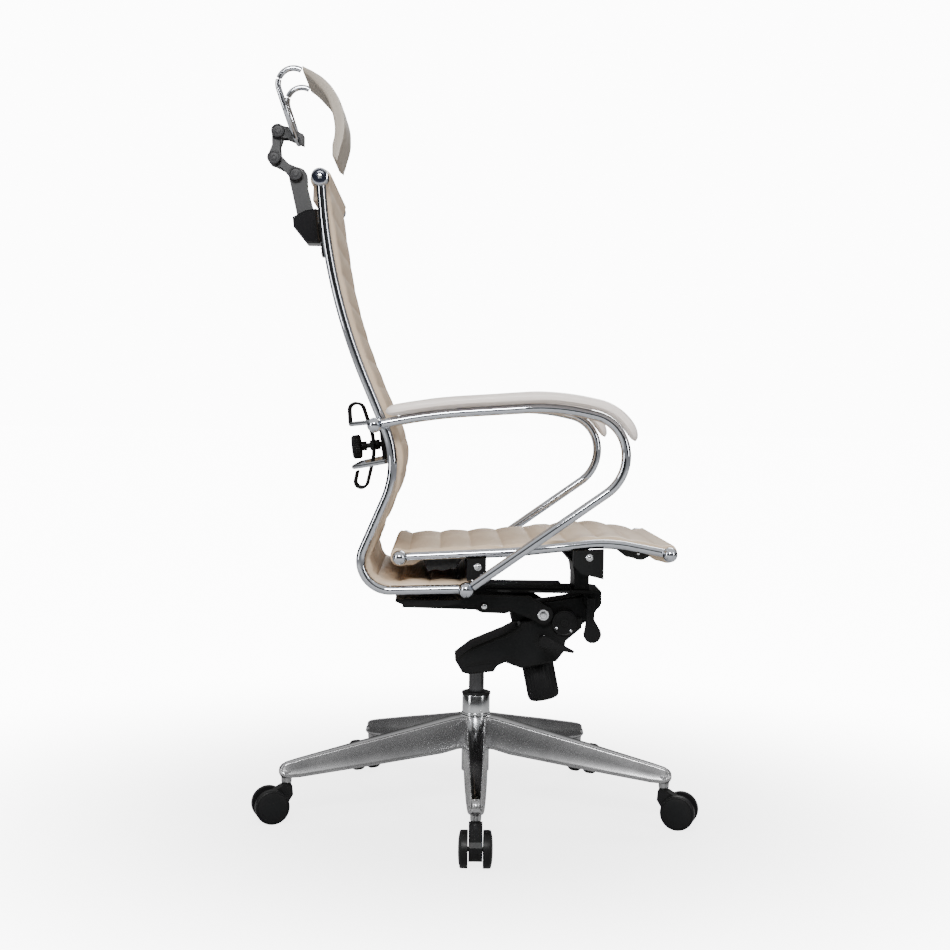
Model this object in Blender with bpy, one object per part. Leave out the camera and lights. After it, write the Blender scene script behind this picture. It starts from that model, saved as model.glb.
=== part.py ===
"""Swivel office chair with a tubular frame, a tilting mechanism and a hinged headrest.

Units are metres, +Z is up, +X is the way the sitter faces and +Y is the sitter's left.
Shapes are given from the swivel axis at floor level, and the whole chair hangs from one
empty, which puts the origin under the middle of its bounding box.
"""

import math

import bmesh
import bpy
from mathutils import Matrix, Quaternion, Vector

# ---- Driving dimensions -------------------------------------------------------------
ORIGIN_SHIFT = (0.0018, 0.0301, 0.0)
GAP = 0.0003
CHORD_ERROR = 0.0004

ARM_COUNT = 5
FIRST_ARM_DEG = -91.0
BASE_TIP_R = 0.358
CASTER_STEM_R = 0.346
CASTER_TRAIL = 0.028
WHEEL_R = 0.030
WHEEL_WIDTH = 0.0155
WHEEL_INNER_Y = 0.0120
WHEEL_SIDES = 24
AXLE_R = 0.0040
STEM_R = 0.0055
STEM_TOP = 0.094

COLUMN_R = 0.025
COLUMN_INNER_R = 0.0225
COLUMN_BOTTOM = 0.070
COLUMN_TOP = 0.209
LIFT_R = 0.014
LIFT_BOTTOM = 0.080
LIFT_TOP = 0.280

HOUSING_HALF_WIDTH = 0.056
LEVER_INNER_Y = 0.059
LEVER_OUTER_Y = 0.070
PIN_R = 0.0060
PIN_BORE_R = 0.0063

SEAT_TUBE_Y = 0.212
SEAT_TUBE_R = 0.0070
BACK_TUBE_Y = 0.216
BACK_TUBE_R = 0.0078
BAR_R = 0.0080
BALL_Y = 0.2275
BALL_R = 0.0125
ARM_Y = 0.243
ARM_BALL_Y = 0.235
ARM_TUBE_R = 0.0080
ARM_PAD_HALF_WIDTH = 0.027
ARM_PAD_THICK = 0.020
PAD_HALF_WIDTH = 0.2035
BAR_HALF_LENGTH = 0.2045
WRAP_R = 0.0165

# Joint axes that run along Y, as (x, z).
TILT_PIVOT = (0.1145, 0.3625)
SEAT_PIVOT = (0.2045, 0.3835)
LINK_RIVET = (0.0100, 0.3765)
HEIGHT_LEVER_PIVOT = (0.1145, 0.3215)
PADDLE_PIVOT = (0.1970, 0.3885)
HEADREST_PIVOTS = ((-0.3350, 1.1350), (-0.3735, 1.1630), (-0.3670, 1.2100))
RAIL_FOOT = (-0.2905, 0.0, 1.0550)
RAIL_LEAN = math.radians(5.5)
KNOB_TOP = (0.1095, 0.2685)
KNOB_BOTTOM = (0.1235, 0.2020)
LUMBAR_KNOB = (-0.2210, 0.6525)
LUMBAR_SLOPE_DEG = 7.0

# Centre lines of the bent tubes, as corners (x, z, bend radius) from one end to the other.
BACK_TOP = (-0.275, 1.099)
BACK_BALL = (-0.025, 0.423)
ARM_BALL = (-0.180, 0.6935)
SEAT_REAR = (-0.136, 0.4745)
SEAT_FRONT = (0.313, 0.4855)
BACK_CORNERS = (
    (*BACK_TOP, 0.0), (-0.257, 0.906, 0.95), (-0.137, 0.628, 0.15),
    (-0.227, 0.4165, 0.049), (*BACK_BALL, 0.0),
)
ARM_CORNERS = (
    (*ARM_BALL, 0.0), (-0.082, 0.713, 0.90), (0.119, 0.728, 0.35),
    (0.220, 0.707, 0.065), (0.2485, 0.6185, 0.075), (*BACK_BALL, 0.0),
)
SEAT_CORNERS = ((*SEAT_REAR, 0.0), (0.060, 0.486, 0.90), (0.212, 0.504, 0.25), (*SEAT_FRONT, 0.0))
# One side of the headrest tube, as corners (x, y, z, bend radius) from the pad to the clamp.
HEADREST_CORNERS = (
    (-0.3215, 0.080, 1.3035, 0.0), (-0.380, 0.080, 1.331, 0.027), (-0.334, 0.080, 1.196, 0.055),
)
HEADREST_TUBE_R = 0.00525
HEADREST_CORE = ((-0.313, 1.309, 0.0), (-0.2215, 1.268, 0.105), (-0.256, 1.149, 0.0))
HEADREST_HALF_WIDTH = 0.088
HEADREST_THICK = 0.017
EYE_R = 0.0120
BOLT_BORE_R = 0.0045

# name: (colour, roughness, metallic)
FINISHES = {
    "chrome": ((0.80, 0.81, 0.83, 1.0), 0.05, 1.0),
    "aluminium": ((0.62, 0.62, 0.63, 1.0), 0.22, 1.0),
    "black_steel": ((0.02, 0.02, 0.02, 1.0), 0.45, 0.3),
    "black_plastic": ((0.015, 0.015, 0.015, 1.0), 0.40, 0.0),
    "grey_plastic": ((0.08, 0.08, 0.085, 1.0), 0.45, 0.0),
    "leather": ((0.62, 0.52, 0.42, 1.0), 0.45, 0.0),
    "pale_leather": ((0.78, 0.74, 0.70, 1.0), 0.45, 0.0),
    "black_cloth": ((0.02, 0.02, 0.02, 1.0), 0.80, 0.0),
}


# ---- Modelling helpers --------------------------------------------------------------
def clear_scene():
    for obj in list(bpy.data.objects):
        bpy.data.objects.remove(obj)


def finish_material(name):
    """The shared Principled material of one finish."""
    material = bpy.data.materials.get(name)
    if material is None:
        colour, roughness, metallic = FINISHES[name]
        material = bpy.data.materials.new(name)
        material.use_nodes = True
        shader = material.node_tree.nodes["Principled BSDF"]
        shader.inputs["Base Color"].default_value = colour
        shader.inputs["Roughness"].default_value = roughness
        shader.inputs["Metallic"].default_value = metallic
    return material


def solid(bm, name="piece"):
    """A new object of this bmesh, with its faces turned outwards."""
    bmesh.ops.recalc_face_normals(bm, faces=bm.faces)
    mesh = bpy.data.meshes.new(name)
    bm.to_mesh(mesh)
    bm.free()
    obj = bpy.data.objects.new(name, mesh)
    bpy.context.scene.collection.objects.link(obj)
    return obj


def combine(target, tools, operation="UNION"):
    """Joins the tools to the target, or cuts them from it, and removes them."""
    for tool in tools:
        modifier = target.modifiers.new("combine", "BOOLEAN")
        modifier.operation = operation
        modifier.object = tool
        graph = bpy.context.evaluated_depsgraph_get()
        target.data = bpy.data.meshes.new_from_object(target.evaluated_get(graph))
        target.modifiers.remove(modifier)
        bpy.data.objects.remove(tool)
    return target


def settle(obj, name, finish, pivot=(0.0, 0.0, 0.0)):
    """Names a finished solid, puts its origin on its joint and hangs it from the chair."""
    obj.name = name
    obj.data.name = name
    obj.data.materials.clear()
    obj.data.materials.append(finish_material(finish))
    obj.data.transform(Matrix.Translation(-Vector(pivot)))
    obj.data.shade_smooth()
    obj.data.set_sharp_from_angle(angle=math.radians(35))
    obj.location = pivot
    obj.parent = bpy.data.objects["chair_frame"]
    return obj


def on_y(point):
    """The (x, z) of an axis along Y as a point on the middle plane."""
    return (point[0], 0.0, point[1])


def bent(corners):
    """Points along straight runs joined by arcs. A corner is (x, y, z, bend radius)."""
    points = [Vector(corners[0][:3])]
    for before, corner, after in zip(corners, corners[1:], corners[2:]):
        here, radius = Vector(corner[:3]), corner[3]
        back = (Vector(before[:3]) - here).normalized()
        ahead = (Vector(after[:3]) - here).normalized()
        half = back.angle(ahead) / 2
        centre = here + (back + ahead).normalized() * radius / math.sin(half)
        start = here + back * radius / math.tan(half) - centre
        end = here + ahead * radius / math.tan(half) - centre
        turn = math.pi - 2 * half
        count = math.ceil(turn / (2 * math.acos(1 - CHORD_ERROR / radius)))
        for i in range(count + 1):
            points.append(centre + Quaternion(start.cross(end), turn * i / count) @ start)
    points.append(Vector(corners[-1][:3]))
    return [p for i, p in enumerate(points) if i == 0 or (p - points[i - 1]).length > CHORD_ERROR]


def bent_at(corners, y):
    """The path through (x, z, bend radius) corners, in the plane of that y."""
    return bent([(x, y, z, radius) for x, z, radius in corners])


def flat(corners):
    """The same path as (x, z) points."""
    return [(p.x, p.z) for p in bent_at(corners, 0.0)]


def evenly(points, count):
    """count (x, z) points, evenly spread along a run of them."""
    points = [Vector(p) for p in points]
    lengths = [0.0]
    for before, after in zip(points, points[1:]):
        lengths.append(lengths[-1] + (after - before).length)
    found = []
    for i in range(count):
        reach = lengths[-1] * i / (count - 1)
        j = next((k for k in range(1, len(points) - 1) if lengths[k] >= reach), len(points) - 1)
        part = (reach - lengths[j - 1]) / (lengths[j] - lengths[j - 1])
        found.append(tuple(points[j - 1].lerp(points[j], part)))
    return found


def sweep(path, outline, up=(0.0, 1.0, 0.0)):
    """A bmesh of a closed outline carried along a path. The outline's first coordinate lies
    across the path, square to `up`, and its second lies along `up`."""
    bm = bmesh.new()
    rings = []
    up = Vector(up)
    for i, point in enumerate(path):
        tangent = (path[min(i + 1, len(path) - 1)] - path[max(i - 1, 0)]).normalized()
        across = up.cross(tangent).normalized()
        along_up = tangent.cross(across)
        shape = outline(i / (len(path) - 1))
        rings.append([bm.verts.new(point + across * a + along_up * b) for a, b in shape])
    for low, high in zip(rings, rings[1:]):
        for j in range(len(low)):
            k = (j + 1) % len(low)
            bm.faces.new((low[j], low[k], high[k], high[j]))
    bm.faces.new(rings[0][::-1])
    bm.faces.new(rings[-1])
    return bm


def circle(radius, sides):
    """An outline for sweep: a regular polygon."""
    turns = [math.tau * i / sides for i in range(sides)]
    ring = [(radius * math.cos(a), radius * math.sin(a)) for a in turns]
    return lambda at: ring


def tube(path, radius, sides=10, up=(0.0, 1.0, 0.0)):
    return solid(sweep(path, circle(radius, sides), up))


def ring_of(bm, radius, height, sides):
    """The vertices of one ring of a turned body, or its one point on the axis."""
    if radius == 0.0:
        return [bm.verts.new((0.0, 0.0, height))]
    turns = [math.tau * (i + 0.5) / sides for i in range(sides)]
    return [bm.verts.new((radius * math.cos(a), radius * math.sin(a), height)) for a in turns]


def turned(profile, sides, place=None):
    """A body of revolution about Z. The profile is a list of (radius, height), and a
    profile that starts or ends off the axis is closed back to its start as a ring."""
    bm = bmesh.new()
    rings = [ring_of(bm, radius, height, sides) for radius, height in profile]
    pairs = list(zip(rings, rings[1:]))
    if len(rings[0]) > 1 or len(rings[-1]) > 1:
        pairs.append((rings[-1], rings[0]))
    for low, high in pairs:
        for j in range(sides):
            k = (j + 1) % sides
            corners = [low[j % len(low)], low[k % len(low)], high[k % len(high)], high[j % len(high)]]
            unique = list(dict.fromkeys(corners))
            if len(unique) > 2:
                bm.faces.new(unique)
    if place is not None:
        bmesh.ops.transform(bm, matrix=place, verts=bm.verts)
    return solid(bm)


def along(start, end):
    """The matrix that takes the Z axis, from its origin, onto the line from start to end."""
    start, end = Vector(start), Vector(end)
    turn = (end - start).to_track_quat("Z", "Y").to_matrix().to_4x4()
    return Matrix.Translation(start) @ turn


def rod(start, end, radius, sides=12):
    """A solid round bar between two points."""
    length = (Vector(end) - Vector(start)).length
    return turned([(0.0, 0.0), (radius, 0.0), (radius, length), (0.0, length)], sides, along(start, end))


def drill(radius, low, high, sides=12):
    """A round cutter along Z."""
    return turned([(0.0, low), (radius, low), (radius, high), (0.0, high)], sides)


def cross_rod(point, y0, y1, radius, sides=12):
    """A round bar along Y through an (x, z) point."""
    return rod((point[0], y0, point[1]), (point[0], y1, point[1]), radius, sides)


def ball(point, y, radius, sides=12):
    """A sphere of stacked rings on an axis along Y."""
    angles = [math.tau * i / sides for i in range(1, sides // 2)]
    profile = [(radius * math.sin(a), -radius * math.cos(a)) for a in angles]
    profile = [(0.0, -radius)] + profile + [(0.0, radius)]
    return turned(profile, sides, along((point[0], y, point[1]), (point[0], y + 1.0, point[1])))


def slab(outline, y0, y1, bevel=0.0):
    """An (x, z) outline extruded along Y, with an optional bevel on its rims."""
    bm = bmesh.new()
    face = bm.faces.new([bm.verts.new((x, y0, z)) for x, z in outline])
    bm.normal_update()
    grown = bmesh.ops.extrude_face_region(bm, geom=[face])
    moved = [item for item in grown["geom"] if isinstance(item, bmesh.types.BMVert)]
    bmesh.ops.translate(bm, vec=(0.0, y1 - y0, 0.0), verts=moved)
    if bevel:
        rims = [e for e in bm.edges if abs(e.verts[0].co.y - e.verts[1].co.y) < GAP]
        bmesh.ops.bevel(bm, geom=rims, offset=bevel, segments=1, affect="EDGES")
    return solid(bm)


def box(low, high):
    outline = ((low[0], low[2]), (high[0], low[2]), (high[0], high[2]), (low[0], high[2]))
    return slab(outline, low[1], high[1])


def arc(centre, radius, start_deg, end_deg, count):
    """Points of an arc in the XZ plane, anticlockwise when end is above start."""
    turns = [math.radians(start_deg + (end_deg - start_deg) * i / (count - 1)) for i in range(count)]
    return [(centre[0] + radius * math.cos(a), centre[1] + radius * math.sin(a)) for a in turns]


def offset(points, distances):
    """A run of (x, z) points, each moved sideways by its own distance, to the left of the run."""
    moved = []
    for i, (point, distance) in enumerate(zip(points, distances)):
        ahead = points[min(i + 1, len(points) - 1)]
        behind = points[max(i - 1, 0)]
        run = Vector((ahead[0] - behind[0], ahead[1] - behind[1])).normalized()
        moved.append((point[0] - run.y * distance, point[1] + run.x * distance))
    return moved


def level(stations, at):
    """Linear interpolation in (place, value) stations."""
    for (a, low), (b, high) in zip(stations, stations[1:]):
        if at <= b:
            return low + (high - low) * (at - a) / (b - a)
    return stations[-1][1]


# ---- Base, column and casters -------------------------------------------------------
def arm_turn(i):
    return Matrix.Rotation(math.radians(FIRST_ARM_DEG + 360.0 / ARM_COUNT * i), 4, "Z")


def base_arm(turn):
    """One tapered arm of the base, wider at the bottom than on top."""
    # Along the arm: (distance out, top, bottom, half width at the top, at the bottom).
    stations = (
        (0.022, 0.1688, 0.1150, 0.0158, 0.0198),
        (0.069, 0.1630, 0.1065, 0.0165, 0.0215),
        (0.143, 0.1470, 0.0990, 0.0150, 0.0210),
        (0.286, 0.1165, 0.0820, 0.0110, 0.0170),
        (0.345, 0.1035, 0.0770, 0.0090, 0.0135),
        (BASE_TIP_R, 0.0990, 0.0800, 0.0070, 0.0100),
    )
    bm = bmesh.new()
    rings = []
    for out, top, bottom, half_top, half_bottom in stations:
        corners = ((half_bottom, bottom), (half_top, top), (-half_top, top), (-half_bottom, bottom))
        rings.append([bm.verts.new((out, y, z)) for y, z in corners])
    for low, high in zip(rings, rings[1:]):
        for j in range(4):
            bm.faces.new((low[j], low[(j + 1) % 4], high[(j + 1) % 4], high[j]))
    bm.faces.new(rings[0])
    bm.faces.new(rings[-1])
    bmesh.ops.transform(bm, matrix=turn, verts=bm.verts)
    return solid(bm)


def build_base():
    """Five tapered arms cast with one hub, and a socket under each tip."""
    profile = [(0.0, 0.1150), (0.0295, 0.1150), (0.0300, 0.1710), (0.0285, 0.1725), (0.0, 0.1725)]
    hub = turned(profile, 20)
    parts = []
    cuts = [drill(COLUMN_R + GAP, 0.05, 0.20, 24)]
    for i in range(ARM_COUNT):
        at_stem = arm_turn(i) @ Matrix.Translation((CASTER_STEM_R, 0.0, 0.0))
        socket = turned([(0.0, 0.0675), (0.0085, 0.0675), (0.0095, 0.0900), (0.0, 0.0900)], 12, at_stem)
        bore = drill(STEM_R + GAP, 0.05, STEM_TOP + 0.001, 14)
        bore.data.transform(at_stem)
        parts += [base_arm(arm_turn(i)), socket]
        cuts.append(bore)
    settle(combine(combine(hub, parts), cuts, "DIFFERENCE"), "star_base", "aluminium")


def build_column():
    """Outer tube, its guide bush, the fixed piston rod and the sliding gas cylinder."""
    floor = COLUMN_BOTTOM + 0.003
    outer = [(0.0, COLUMN_BOTTOM), (COLUMN_R, COLUMN_BOTTOM), (COLUMN_R, COLUMN_TOP),
             (COLUMN_INNER_R, COLUMN_TOP), (COLUMN_INNER_R, floor), (0.0, floor)]
    settle(turned(outer, 24), "column_tube", "aluminium")
    rim = COLUMN_TOP + 0.006
    guide = [(COLUMN_INNER_R - GAP, 0.150), (COLUMN_INNER_R - GAP, COLUMN_TOP + GAP),
             (0.0262, COLUMN_TOP + GAP), (0.0262, rim), (LIFT_R + GAP, rim), (LIFT_R + GAP, 0.150)]
    settle(turned(guide, 24), "column_bushing", "black_plastic")
    stand, foot, top = floor + GAP, 0.0785, 0.152
    piston = [(0.0, stand), (0.012, stand), (0.012, foot), (0.005, foot), (0.005, top), (0.0, top)]
    settle(turned(piston, 16), "piston_rod", "chrome")
    cylinder = [(0.0, LIFT_TOP), (0.0, 0.165), (0.0053, 0.165), (0.0053, LIFT_BOTTOM), (LIFT_R, LIFT_BOTTOM),
                (LIFT_R, 0.256), (0.0132, LIFT_TOP)]
    settle(turned(cylinder, 24), "gas_cylinder", "black_steel")


def caster_fork(here):
    """The hood between the two wheels, with its stem, collar and axle."""
    hood = [(-0.0365, 0.0645), (-0.0200, 0.0645)] + arc((0.0, WHEEL_R), 0.0205, 70, -58, 6)
    hood += [(-0.0060, 0.0150), (-0.0220, 0.0220), (-0.0380, 0.0480)]
    stem = rod((-CASTER_TRAIL, 0.0, 0.050), (-CASTER_TRAIL, 0.0, STEM_TOP), STEM_R)
    collar = rod((-CASTER_TRAIL, 0.0, 0.060), (-CASTER_TRAIL, 0.0, 0.067), 0.0085)
    axle = cross_rod((0.0, WHEEL_R), -0.0235, 0.0235, AXLE_R)
    fork = combine(slab(hood, -0.0110, 0.0110), [collar, stem, axle])
    fork.data.transform(here)
    return fork


def build_casters():
    """Five twin-wheel casters, each trailing outwards from its stem."""
    # A flat facet of the tread faces the floor, so the facets' mid-height is the radius.
    tread = WHEEL_R / math.cos(math.pi / WHEEL_SIDES)
    bore = AXLE_R + 0.0004
    profile = [(0.0, 0.0120), (bore, 0.0120), (bore, 0.0), (tread, 0.0), (tread, 0.0110),
               (tread - 0.004, 0.0142), (0.0, WHEEL_WIDTH)]
    for i in range(ARM_COUNT):
        here = arm_turn(i) @ Matrix.Translation((CASTER_STEM_R + CASTER_TRAIL, 0.0, 0.0))
        stem_at = arm_turn(i) @ Vector((CASTER_STEM_R, 0.0, 0.0))
        axle_at = here @ Vector((0.0, 0.0, WHEEL_R))
        settle(caster_fork(here), f"caster_fork_{i + 1}", "black_plastic", stem_at)
        for side, letter in ((-1.0, "a"), (1.0, "b")):
            place = along((0.0, side * WHEEL_INNER_Y, WHEEL_R), (0.0, side, WHEEL_R))
            wheel = turned(profile, WHEEL_SIDES, here @ place)
            settle(wheel, f"caster_wheel_{i + 1}{letter}", "black_plastic", axle_at)


# ---- Tilting mechanism --------------------------------------------------------------
def build_housing():
    """The cast housing that the gas cylinder holds and both tilting pieces turn in."""
    top = [(-0.040, 0.278), (-0.012, 0.300), (0.049, 0.326), (0.072, 0.339), (0.075, 0.347),
           (0.094, 0.353), (0.103, 0.371), (0.126, 0.371), (0.138, 0.357)]
    under = [(0.184, 0.357), (0.184, 0.338), (0.156, 0.314), (0.154, 0.296), (0.140, 0.2780),
             (0.079, 0.2645), (0.065, 0.269), (0.049, 0.275), (0.035, 0.268), (0.029, 0.258),
             (-0.016, 0.253), (-0.027, 0.256)]
    body = slab(top + under, -HOUSING_HALF_WIDTH, HOUSING_HALF_WIDTH, bevel=0.003)
    ear = [(0.184, 0.339), (0.143, 0.339), (0.143, 0.356), (0.184, 0.3835)]
    ear += arc(SEAT_PIVOT, 0.0150, 150, -20, 7) + [(0.206, 0.356)]
    # A round cover on each side closes the spring's chamber.
    cover = cross_rod((0.153, 0.347), -LEVER_INNER_Y + 0.0005, LEVER_INNER_Y - 0.0005, 0.0230, 20)
    body = combine(body, [slab(ear, -0.030, 0.030), cover])
    bores = [drill(LIFT_R + GAP, 0.20, LIFT_TOP + 0.001, 24)]
    bores += [cross_rod(pivot, -0.1, 0.1, PIN_BORE_R) for pivot in (TILT_PIVOT, SEAT_PIVOT)]
    settle(combine(body, bores, "DIFFERENCE"), "mechanism_housing", "black_steel")
    settle(cross_rod(TILT_PIVOT, -0.0720, 0.0720, PIN_R), "tilt_shaft", "chrome")


def build_back_lever():
    """The pressed channel that carries the back and turns on the tilt shaft."""
    tail = [(-0.147, 0.396), (-0.143, 0.383), (-0.134, 0.380), (-0.134, 0.3725)]
    side = tail + [(-0.006, 0.370), (0.006, 0.365), (0.047, 0.364), (0.061, 0.368), (0.090, 0.356)]
    side += arc(TILT_PIVOT, 0.0170, 220, 400, 8) + [(0.088, 0.396), (-0.020, 0.3975)]
    web = tail + [(-0.050, 0.3710), (-0.050, 0.3970)]
    # Two flanges reach out under the back tubes and the bottom bar.
    wing = [(-0.143, 0.398), (-0.122, 0.389), (-0.072, 0.389), (-0.032, 0.397), (-0.032, 0.402),
            (-0.143, 0.402)]
    lever = slab(side, -LEVER_OUTER_Y, -LEVER_INNER_Y)
    other_side = slab(side, LEVER_INNER_Y, LEVER_OUTER_Y)
    lever = combine(lever, [other_side, slab(web, -0.065, 0.065), slab(wing, -0.198, 0.198)])
    lever = combine(lever, [cross_rod(TILT_PIVOT, -0.1, 0.1, PIN_BORE_R)], "DIFFERENCE")
    # The rivets reach inwards to the seat carrier, which they push down as the back leans.
    rivets = [cross_rod(LINK_RIVET, side * 0.0565, side * 0.0725, 0.0055) for side in (-1.0, 1.0)]
    settle(combine(lever, rivets), "back_lever", "black_steel", on_y(TILT_PIVOT))


def build_seat_carrier():
    """The channel that the seat slides on, hinged at its front on the housing."""
    rail = [(0.0150, 0.3995), (0.2180, 0.3995), (0.2180, 0.4035), (0.2080, 0.4055), (0.0150, 0.4055)]
    ear = [(0.1880, 0.4020), (0.1880, 0.3835)] + arc(SEAT_PIVOT, 0.0150, 190, 350, 6) + [(0.2190, 0.4020)]
    pieces = [slab(ear, side * 0.0360, side * 0.0460) for side in (-1.0, 1.0)]
    pieces += [cross_rod(SEAT_PIVOT, side * 0.0400, side * 0.0100, PIN_R) for side in (-1.0, 1.0)]
    pieces.append(cross_rod(PADDLE_PIVOT, -0.0420, -0.0707, 0.0040, 10))
    carrier = combine(slab(rail, -HOUSING_HALF_WIDTH, HOUSING_HALF_WIDTH), pieces)
    settle(carrier, "seat_carrier", "black_steel", on_y(SEAT_PIVOT))


def build_controls():
    """Height lever, seat-depth paddle and tension knob."""
    grip = arc(HEIGHT_LEVER_PIVOT, 0.0110, 50, 250, 7)
    grip += [(0.124, 0.3095), (0.145, 0.3055), (0.1645, 0.3020), (0.1665, 0.3055)]
    spindle = cross_rod(HEIGHT_LEVER_PIVOT, -0.1090, -HOUSING_HALF_WIDTH - GAP, 0.0055, 10)
    lever = combine(slab(grip, -0.118, -0.106, bevel=0.0015), [spindle])
    settle(lever, "height_lever", "black_plastic", on_y(HEIGHT_LEVER_PIVOT))
    paddle = [(0.190, 0.3945), (0.190, 0.362)] + arc((0.201, 0.330), 0.016, 150, 390, 10)
    paddle += [(0.204, 0.356), (0.205, 0.3945)]
    settle(slab(paddle, -0.0780, -0.0710, bevel=0.001), "depth_paddle", "black_plastic", on_y(PADDLE_PIVOT))
    start, end = on_y(KNOB_TOP), on_y(KNOB_BOTTOM)
    length = (Vector(end) - Vector(start)).length
    profile = [(0.0, 0.0), (0.0275, 0.0), (0.0285, 0.004), (0.0285, length - 0.006), (0.0245, length),
               (0.0, length)]
    settle(turned(profile, 20, along(start, end)), "tension_knob", "black_plastic", start)


# ---- Seat ---------------------------------------------------------------------------
def build_seat_frame():
    pivot = on_y(SEAT_FRONT)
    for side, label in ((-1.0, "right"), (1.0, "left")):
        frame = tube(bent_at(SEAT_CORNERS, side * SEAT_TUBE_Y), SEAT_TUBE_R, 10)
        caps = [ball(point, side * BALL_Y, BALL_R) for point in (SEAT_REAR, SEAT_FRONT)]
        settle(combine(frame, caps), f"seat_tube_{label}", "chrome", pivot)
    for point, label in ((SEAT_REAR, "rear"), (SEAT_FRONT, "front")):
        bar = cross_rod(point, -BAR_HALF_LENGTH, BAR_HALF_LENGTH, BAR_R)
        settle(bar, f"seat_{label}_bar", "black_steel", pivot)


def build_seat_pad():
    """One channelled cushion whose ends wrap round the two bars, on a board covered in cloth."""
    line = evenly(flat(SEAT_CORNERS), 12)
    run = [p for p in line if SEAT_REAR[0] + 0.030 < p[0] < SEAT_FRONT[0] - 0.030]
    top = offset(run, [0.0140] * len(run))
    under = offset(run, [-0.0080] * len(run))
    outline = arc(SEAT_REAR, WRAP_R, -60, -240, 9) + top + arc(SEAT_FRONT, WRAP_R, 75, -110, 9) + under[::-1]
    pad = slab(outline, -PAD_HALF_WIDTH, PAD_HALF_WIDTH)
    bores = [cross_rod(point, -0.3, 0.3, BAR_R + GAP) for point in (SEAT_REAR, SEAT_FRONT)]
    settle(combine(pad, bores, "DIFFERENCE"), "seat_pad", "leather", on_y(SEAT_FRONT))
    board = offset(run, [-0.0095] * len(run))
    lower = offset(run, [-0.0265 if p[0] < 0.21 else -0.0180 for p in run])
    settle(slab(board + lower[::-1], -0.190, 0.190), "seat_underlay", "black_cloth", on_y(SEAT_FRONT))


def build_seat_brackets():
    """Cross members under the cushion: tabs carry the tubes, and a foot rides the carrier."""
    # label: beam outline, tab outline, foot outline, all as (x, z).
    shapes = {
        "rear": (
            ((-0.024, 0.4390), (-0.024, 0.4500), (0.008, 0.4500), (0.008, 0.4390)),
            ((-0.024, 0.4380), (-0.024, 0.4730), (0.008, 0.4755), (0.008, 0.4380)),
            ((-0.003, 0.4060), (-0.003, 0.4420), (0.008, 0.4420), (0.008, 0.4115), (0.150, 0.4115),
             (0.150, 0.4060)),
        ),
        "front": (
            ((0.166, 0.4510), (0.154, 0.4640), (0.154, 0.4680), (0.204, 0.4690), (0.204, 0.4420)),
            ((0.166, 0.4510), (0.153, 0.4650), (0.153, 0.4890), (0.204, 0.4920), (0.204, 0.4420)),
            ((0.170, 0.4060), (0.170, 0.4300), (0.166, 0.4530), (0.204, 0.4530), (0.196, 0.4300),
             (0.196, 0.4060)),
        ),
    }
    for label, (beam, tab, foot) in shapes.items():
        tabs = [slab(tab, side * 0.2042, side * 0.2190) for side in (-1.0, 1.0)]
        member = combine(slab(beam, -0.2180, 0.2180), tabs + [slab(foot, -0.050, 0.050)])
        settle(member, f"seat_bracket_{label}", "black_steel", on_y(SEAT_FRONT))


# ---- Back ---------------------------------------------------------------------------
def build_back_frame():
    pivot = on_y(TILT_PIVOT)
    for side, label in ((-1.0, "right"), (1.0, "left")):
        y = side * BACK_TUBE_Y
        frame = tube(bent_at(BACK_CORNERS, y), BACK_TUBE_R, 10)
        boss = cross_rod(BACK_TOP, side * 0.2070, side * 0.2340, 0.0145, 16)
        caps = [ball(BACK_BALL, side * (BALL_Y + 0.0025), 0.0130), ball(ARM_BALL, side * ARM_BALL_Y, BALL_R)]
        caps.append(rod((ARM_BALL[0], side * ARM_BALL_Y, ARM_BALL[1]), (-0.166, y, ARM_BALL[1]), PIN_R))
        settle(combine(frame, [boss] + caps), f"back_tube_{label}", "chrome", pivot)
    for point, label in ((BACK_TOP, "top"), (BACK_BALL, "bottom")):
        bar = cross_rod(point, -BAR_HALF_LENGTH, BAR_HALF_LENGTH, BAR_R)
        settle(bar, f"back_{label}_bar", "black_steel", pivot)


def build_back_pad():
    """The channelled cushion that follows the bent tubes from the top bar to the bottom bar."""
    # How far the cushion stands in front of the tubes' centre line, along the tubes.
    depths = ((0.0, 0.0120), (0.10, 0.0160), (0.45, 0.0175), (0.52, 0.0195), (0.62, 0.0090),
              (0.68, 0.0060), (0.76, 0.0120), (1.0, 0.0100))
    run = evenly(flat(BACK_CORNERS), 40)[2:-2]
    front = offset(run, [level(depths, i / (len(run) - 1)) for i in range(len(run))])
    rear = offset(run, [0.0005] * len(run))
    outline = arc(BACK_TOP, WRAP_R, 190, -10, 9) + front + arc(BACK_BALL, 0.0125, 80, -120, 8) + rear[::-1]
    pad = slab(outline, -PAD_HALF_WIDTH, PAD_HALF_WIDTH)
    bores = [cross_rod(point, -0.3, 0.3, BAR_R + GAP) for point in (BACK_TOP, BACK_BALL)]
    settle(combine(pad, bores, "DIFFERENCE"), "back_pad", "leather", on_y(TILT_PIVOT))


def between_balls(line, clear):
    """The part of an arm's centre line that stays clear of both of its balls."""
    start, end = Vector(ARM_BALL), Vector(BACK_BALL)
    kept = [p for p in line if (Vector(p) - start).length > clear + 0.004]
    kept = [p for p in kept if (Vector(p) - end).length > clear + 0.006]
    first = start + (Vector(kept[0]) - start).normalized() * clear
    last = end + (Vector(kept[-1]) - end).normalized() * (clear + 2 * GAP)
    return [tuple(first)] + kept + [tuple(last)]


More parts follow.
